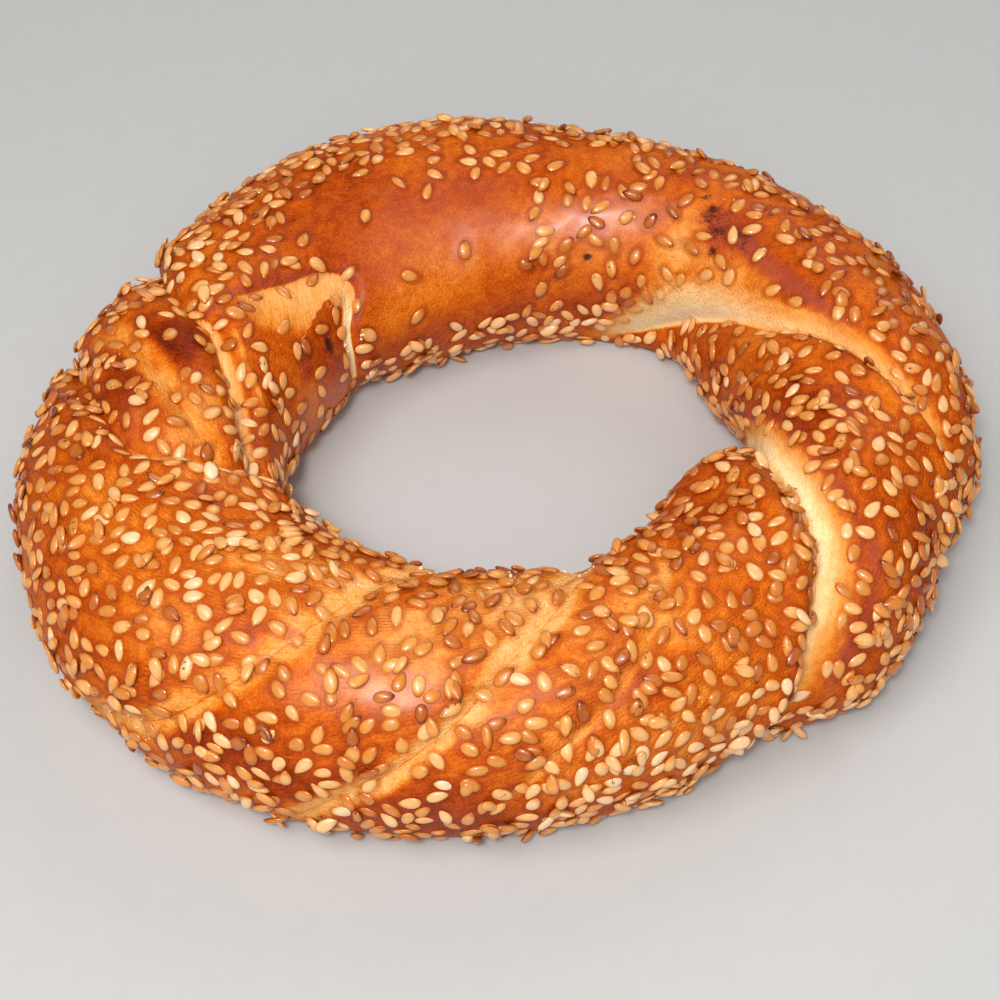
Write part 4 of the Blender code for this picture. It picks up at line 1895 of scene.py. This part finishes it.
@dataclass(frozen=True)
class SeedFinish:
    """Hulled sesame, from cream to dark toasted, with a browner tip and edge, darkened low on its
    edge by glaze and painted contact shade.
    """

    stops: tuple = (
        (0.00, shade(245, 202, 158)),
        (0.20, shade(237, 182, 120)),
        (0.40, shade(221, 149, 72)),
        (0.58, shade(203, 120, 43)),
        (0.74, shade(184, 98, 32)),
        (0.88, shade(160, 75, 22)),
        (1.00, shade(122, 52, 15)))
    # Glaze colour; low on the seed's edge it also stands for painted contact shade.
    glaze: tuple = shade(120, 52, 12)
    soot: tuple = shade(34, 22, 20)
    blotch_size: float = 0.0011
    grit_size: float = 0.00025
    speck_size: float = 0.00055

    def dress(self, piece: bpy.types.Object) -> None:
        """Give seeds their material.

        Args:
            piece: A piece of joined seeds.
        """
        sheet = ShaderSheet(f"{piece.name}_coat")
        at, level, speck = sheet.mark_vector("seed_at"), sheet.mark("level"), sheet.mark("speck")
        blotch = sheet.noise(at, self.blotch_size, rough=0.5)
        grit = sheet.noise(at, self.grit_size)
        toasting = (sheet.mark("toast") + (blotch - 0.5) * 0.28 + (grit - 0.5) * 0.08
                    + sheet.mark("tip").step(0.66, 1.02) * 0.28
                    + level.step(0.62, 1.10) * 0.12 - level.step(0.55, 0.0) * 0.04)
        colour = sheet.ramp(toasting.kept(), self.stops)
        # Low on its edge the seed is darkened by glaze and by painted contact shade where it
        # meets the crust.
        colour = sheet.mix(level.step(0.94, 1.35) * 0.60, colour, self.glaze)
        smudge = sheet.noise(at, self.speck_size, rough=0.65) + speck * 0.10
        cover = smudge.step(0.66, 0.72) * speck.step(0.02, 0.10)
        colour = sheet.mix(cover * 0.85, colour, self.soot)
        rough = 0.36 + (blotch - 0.5) * 0.16 + (grit - 0.5) * 0.10
        height = blotch * 0.030 + grit * 0.012
        sheet.finish(piece, Base_Color=colour, Roughness=rough.kept(0.18, 0.7),
                     Normal=sheet.bump(height), Specular_IOR_Level=0.30, Coat_Weight=0.60,
                     Coat_Roughness=0.07)


@dataclass(frozen=True)
class CrumbFinish:
    """Dry crumb and flakes of crust."""

    stops: tuple = (
        (0.00, shade(250, 230, 184)),
        (0.30, shade(230, 176, 108)),
        (0.55, shade(206, 104, 40)),
        (1.00, shade(120, 46, 14)))
    mottle_size: float = 0.0006
    grit_size: float = 0.0002

    def dress(self, piece: bpy.types.Object) -> None:
        """Give the crumbs their material.

        Args:
            piece: The crumbs.
        """
        sheet = ShaderSheet("dry_crumb")
        place = sheet.place()
        mottle = sheet.noise(place, self.mottle_size, rough=0.5)
        grit = sheet.noise(place, self.grit_size, rough=0.5)
        colour = sheet.ramp((sheet.mark("browning") + (mottle - 0.5) * 0.3
                             + (grit - 0.5) * 0.2).kept(), self.stops)
        sheet.finish(piece, Base_Color=colour, Roughness=(0.7 + (grit - 0.5) * 0.3).kept(),
                     Normal=sheet.bump(mottle * 0.06 + grit * 0.05), Specular_IOR_Level=0.35)


@dataclass(frozen=True)
class FloorFinish:
    """Plain pale paper."""

    light: tuple = shade(192, 191, 189)
    dark: tuple = shade(187, 186, 184)
    fibre_size: float = 0.004

    def dress(self, piece: bpy.types.Object) -> None:
        """Give the floor its material.

        Args:
            piece: The floor.
        """
        sheet = ShaderSheet("pale_paper")
        fibres = sheet.noise(sheet.place(), self.fibre_size, 4.0)
        sheet.finish(piece, Base_Color=sheet.mix(fibres, self.dark, self.light),
                     Roughness=0.85, Specular_IOR_Level=0.2)


# ---- Lights, floor and camera

@dataclass(frozen=True)
class Softbox:
    """A square soft light: where it stands, how wide it is, and its power in watts."""

    name: str
    place: tuple[float, float, float]
    width: float
    power: float

    def build(self, target: Vector) -> None:
        """Stand the light and turn it to the target.

        Args:
            target: The point that it faces.
        """
        lamp = bpy.data.lights.new(self.name, "AREA")
        lamp.shape, lamp.size, lamp.energy = "SQUARE", self.width, self.power
        light = bpy.data.objects.new(self.name, lamp)
        bpy.context.scene.collection.objects.link(light)
        light.location = self.place
        light.rotation_euler = (target - light.location).to_track_quat("-Z", "Y").to_euler()


@dataclass
class Studio:
    """A pale floor, soft light and the camera."""

    floor_size: float = 1.6
    camera_distance: float = 0.360
    camera_elevation: float = 46.0
    camera_lens: float = 86.4
    sensor: float = 36.0
    camera_range: tuple[float, float] = (0.01, 10.0)
    aim_level: float = 0.015
    shift: tuple[float, float] = (-0.00346, -0.0604)
    air_light: float = 0.14
    softboxes: tuple[Softbox, ...] = (
        Softbox("key_softbox", (-0.22, -0.26, 0.62), 0.34, 2.15),
        Softbox("front_softbox", (0.02, -0.44, 0.46), 0.36, 1.3),
        Softbox("small_softbox", (-0.05, -0.38, 0.50), 0.08, 1.9),
        Softbox("back_softbox", (0.24, 0.50, 0.50), 0.50, 1.6))

    def build(self) -> None:
        """Lay the floor, stand the lights and set the camera."""
        scene = bpy.context.scene
        half = self.floor_size / 2.0
        mesh = bpy.data.meshes.new("floor")
        mesh.from_pydata([(x * half, y * half, 0.0)
                          for x, y in ((-1, -1), (1, -1), (1, 1), (-1, 1))], [], [(0, 1, 2, 3)])
        floor = bpy.data.objects.new("floor", mesh)
        scene.collection.objects.link(floor)
        FloorFinish().dress(floor)
        target = Vector(RING_CENTRE) + Vector((0.0, 0.0, self.aim_level))
        for softbox in self.softboxes:
            softbox.build(target)
        self.light_air(scene)
        self.set_camera(scene, target)
        scene.view_settings.view_transform = "Standard"

    def light_air(self, scene: bpy.types.Scene) -> None:
        """Fill the room with an even pale light.

        Args:
            scene: The scene to light.
        """
        world = bpy.data.worlds.new("room")
        world.use_nodes = True
        background = world.node_tree.nodes["Background"]
        background.inputs["Color"].default_value = (1.0, 1.0, 1.0, 1.0)
        background.inputs["Strength"].default_value = self.air_light
        scene.world = world

    def set_camera(self, scene: bpy.types.Scene, target: Vector) -> None:
        """Stand the camera in front of the ring, looking down on it.

        Args:
            scene: The scene to look at.
            target: The point in the middle of the view.
        """
        lens = bpy.data.cameras.new("camera")
        lens.sensor_width, lens.lens = self.sensor, self.camera_lens
        lens.shift_x, lens.shift_y = self.shift
        lens.clip_start, lens.clip_end = self.camera_range
        camera = bpy.data.objects.new("camera", lens)
        scene.collection.objects.link(camera)
        tilt = math.radians(self.camera_elevation)
        back = Vector((0.0, -math.cos(tilt), math.sin(tilt)))
        camera.location = target + back * self.camera_distance
        camera.rotation_euler = (-back).to_track_quat("-Z", "Y").to_euler()
        scene.camera = camera


def report(piece: bpy.types.Object) -> None:
    """Log a finished piece with its triangles and its highest point."""
    top = max(corner[2] for corner in piece.bound_box)
    LOG.info("%s: %d triangles, top at %.2f mm", piece.name, triangle_count(piece), top / MM)


def main() -> None:
    """Build and dress the simit's pieces in order, then light the scene."""
    logging.basicConfig(level=logging.INFO, format="%(name)s: %(message)s")
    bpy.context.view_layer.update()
    crust = Crust(DoughForm())
    crust.build()
    sesame = Sesame(crust)
    sesame.build()
    crumbs = Crumbs(crust)
    crumbs.build()
    crust.dress()
    sesame.dress()
    crumbs.dress()
    for piece in (crust.piece, *sesame.pieces, crumbs.piece):
        report(piece)
    LOG.info("seeds in all: %d", len(sesame.seeds.toasts))
    Studio().build()


if __name__ == "__main__":
    main()
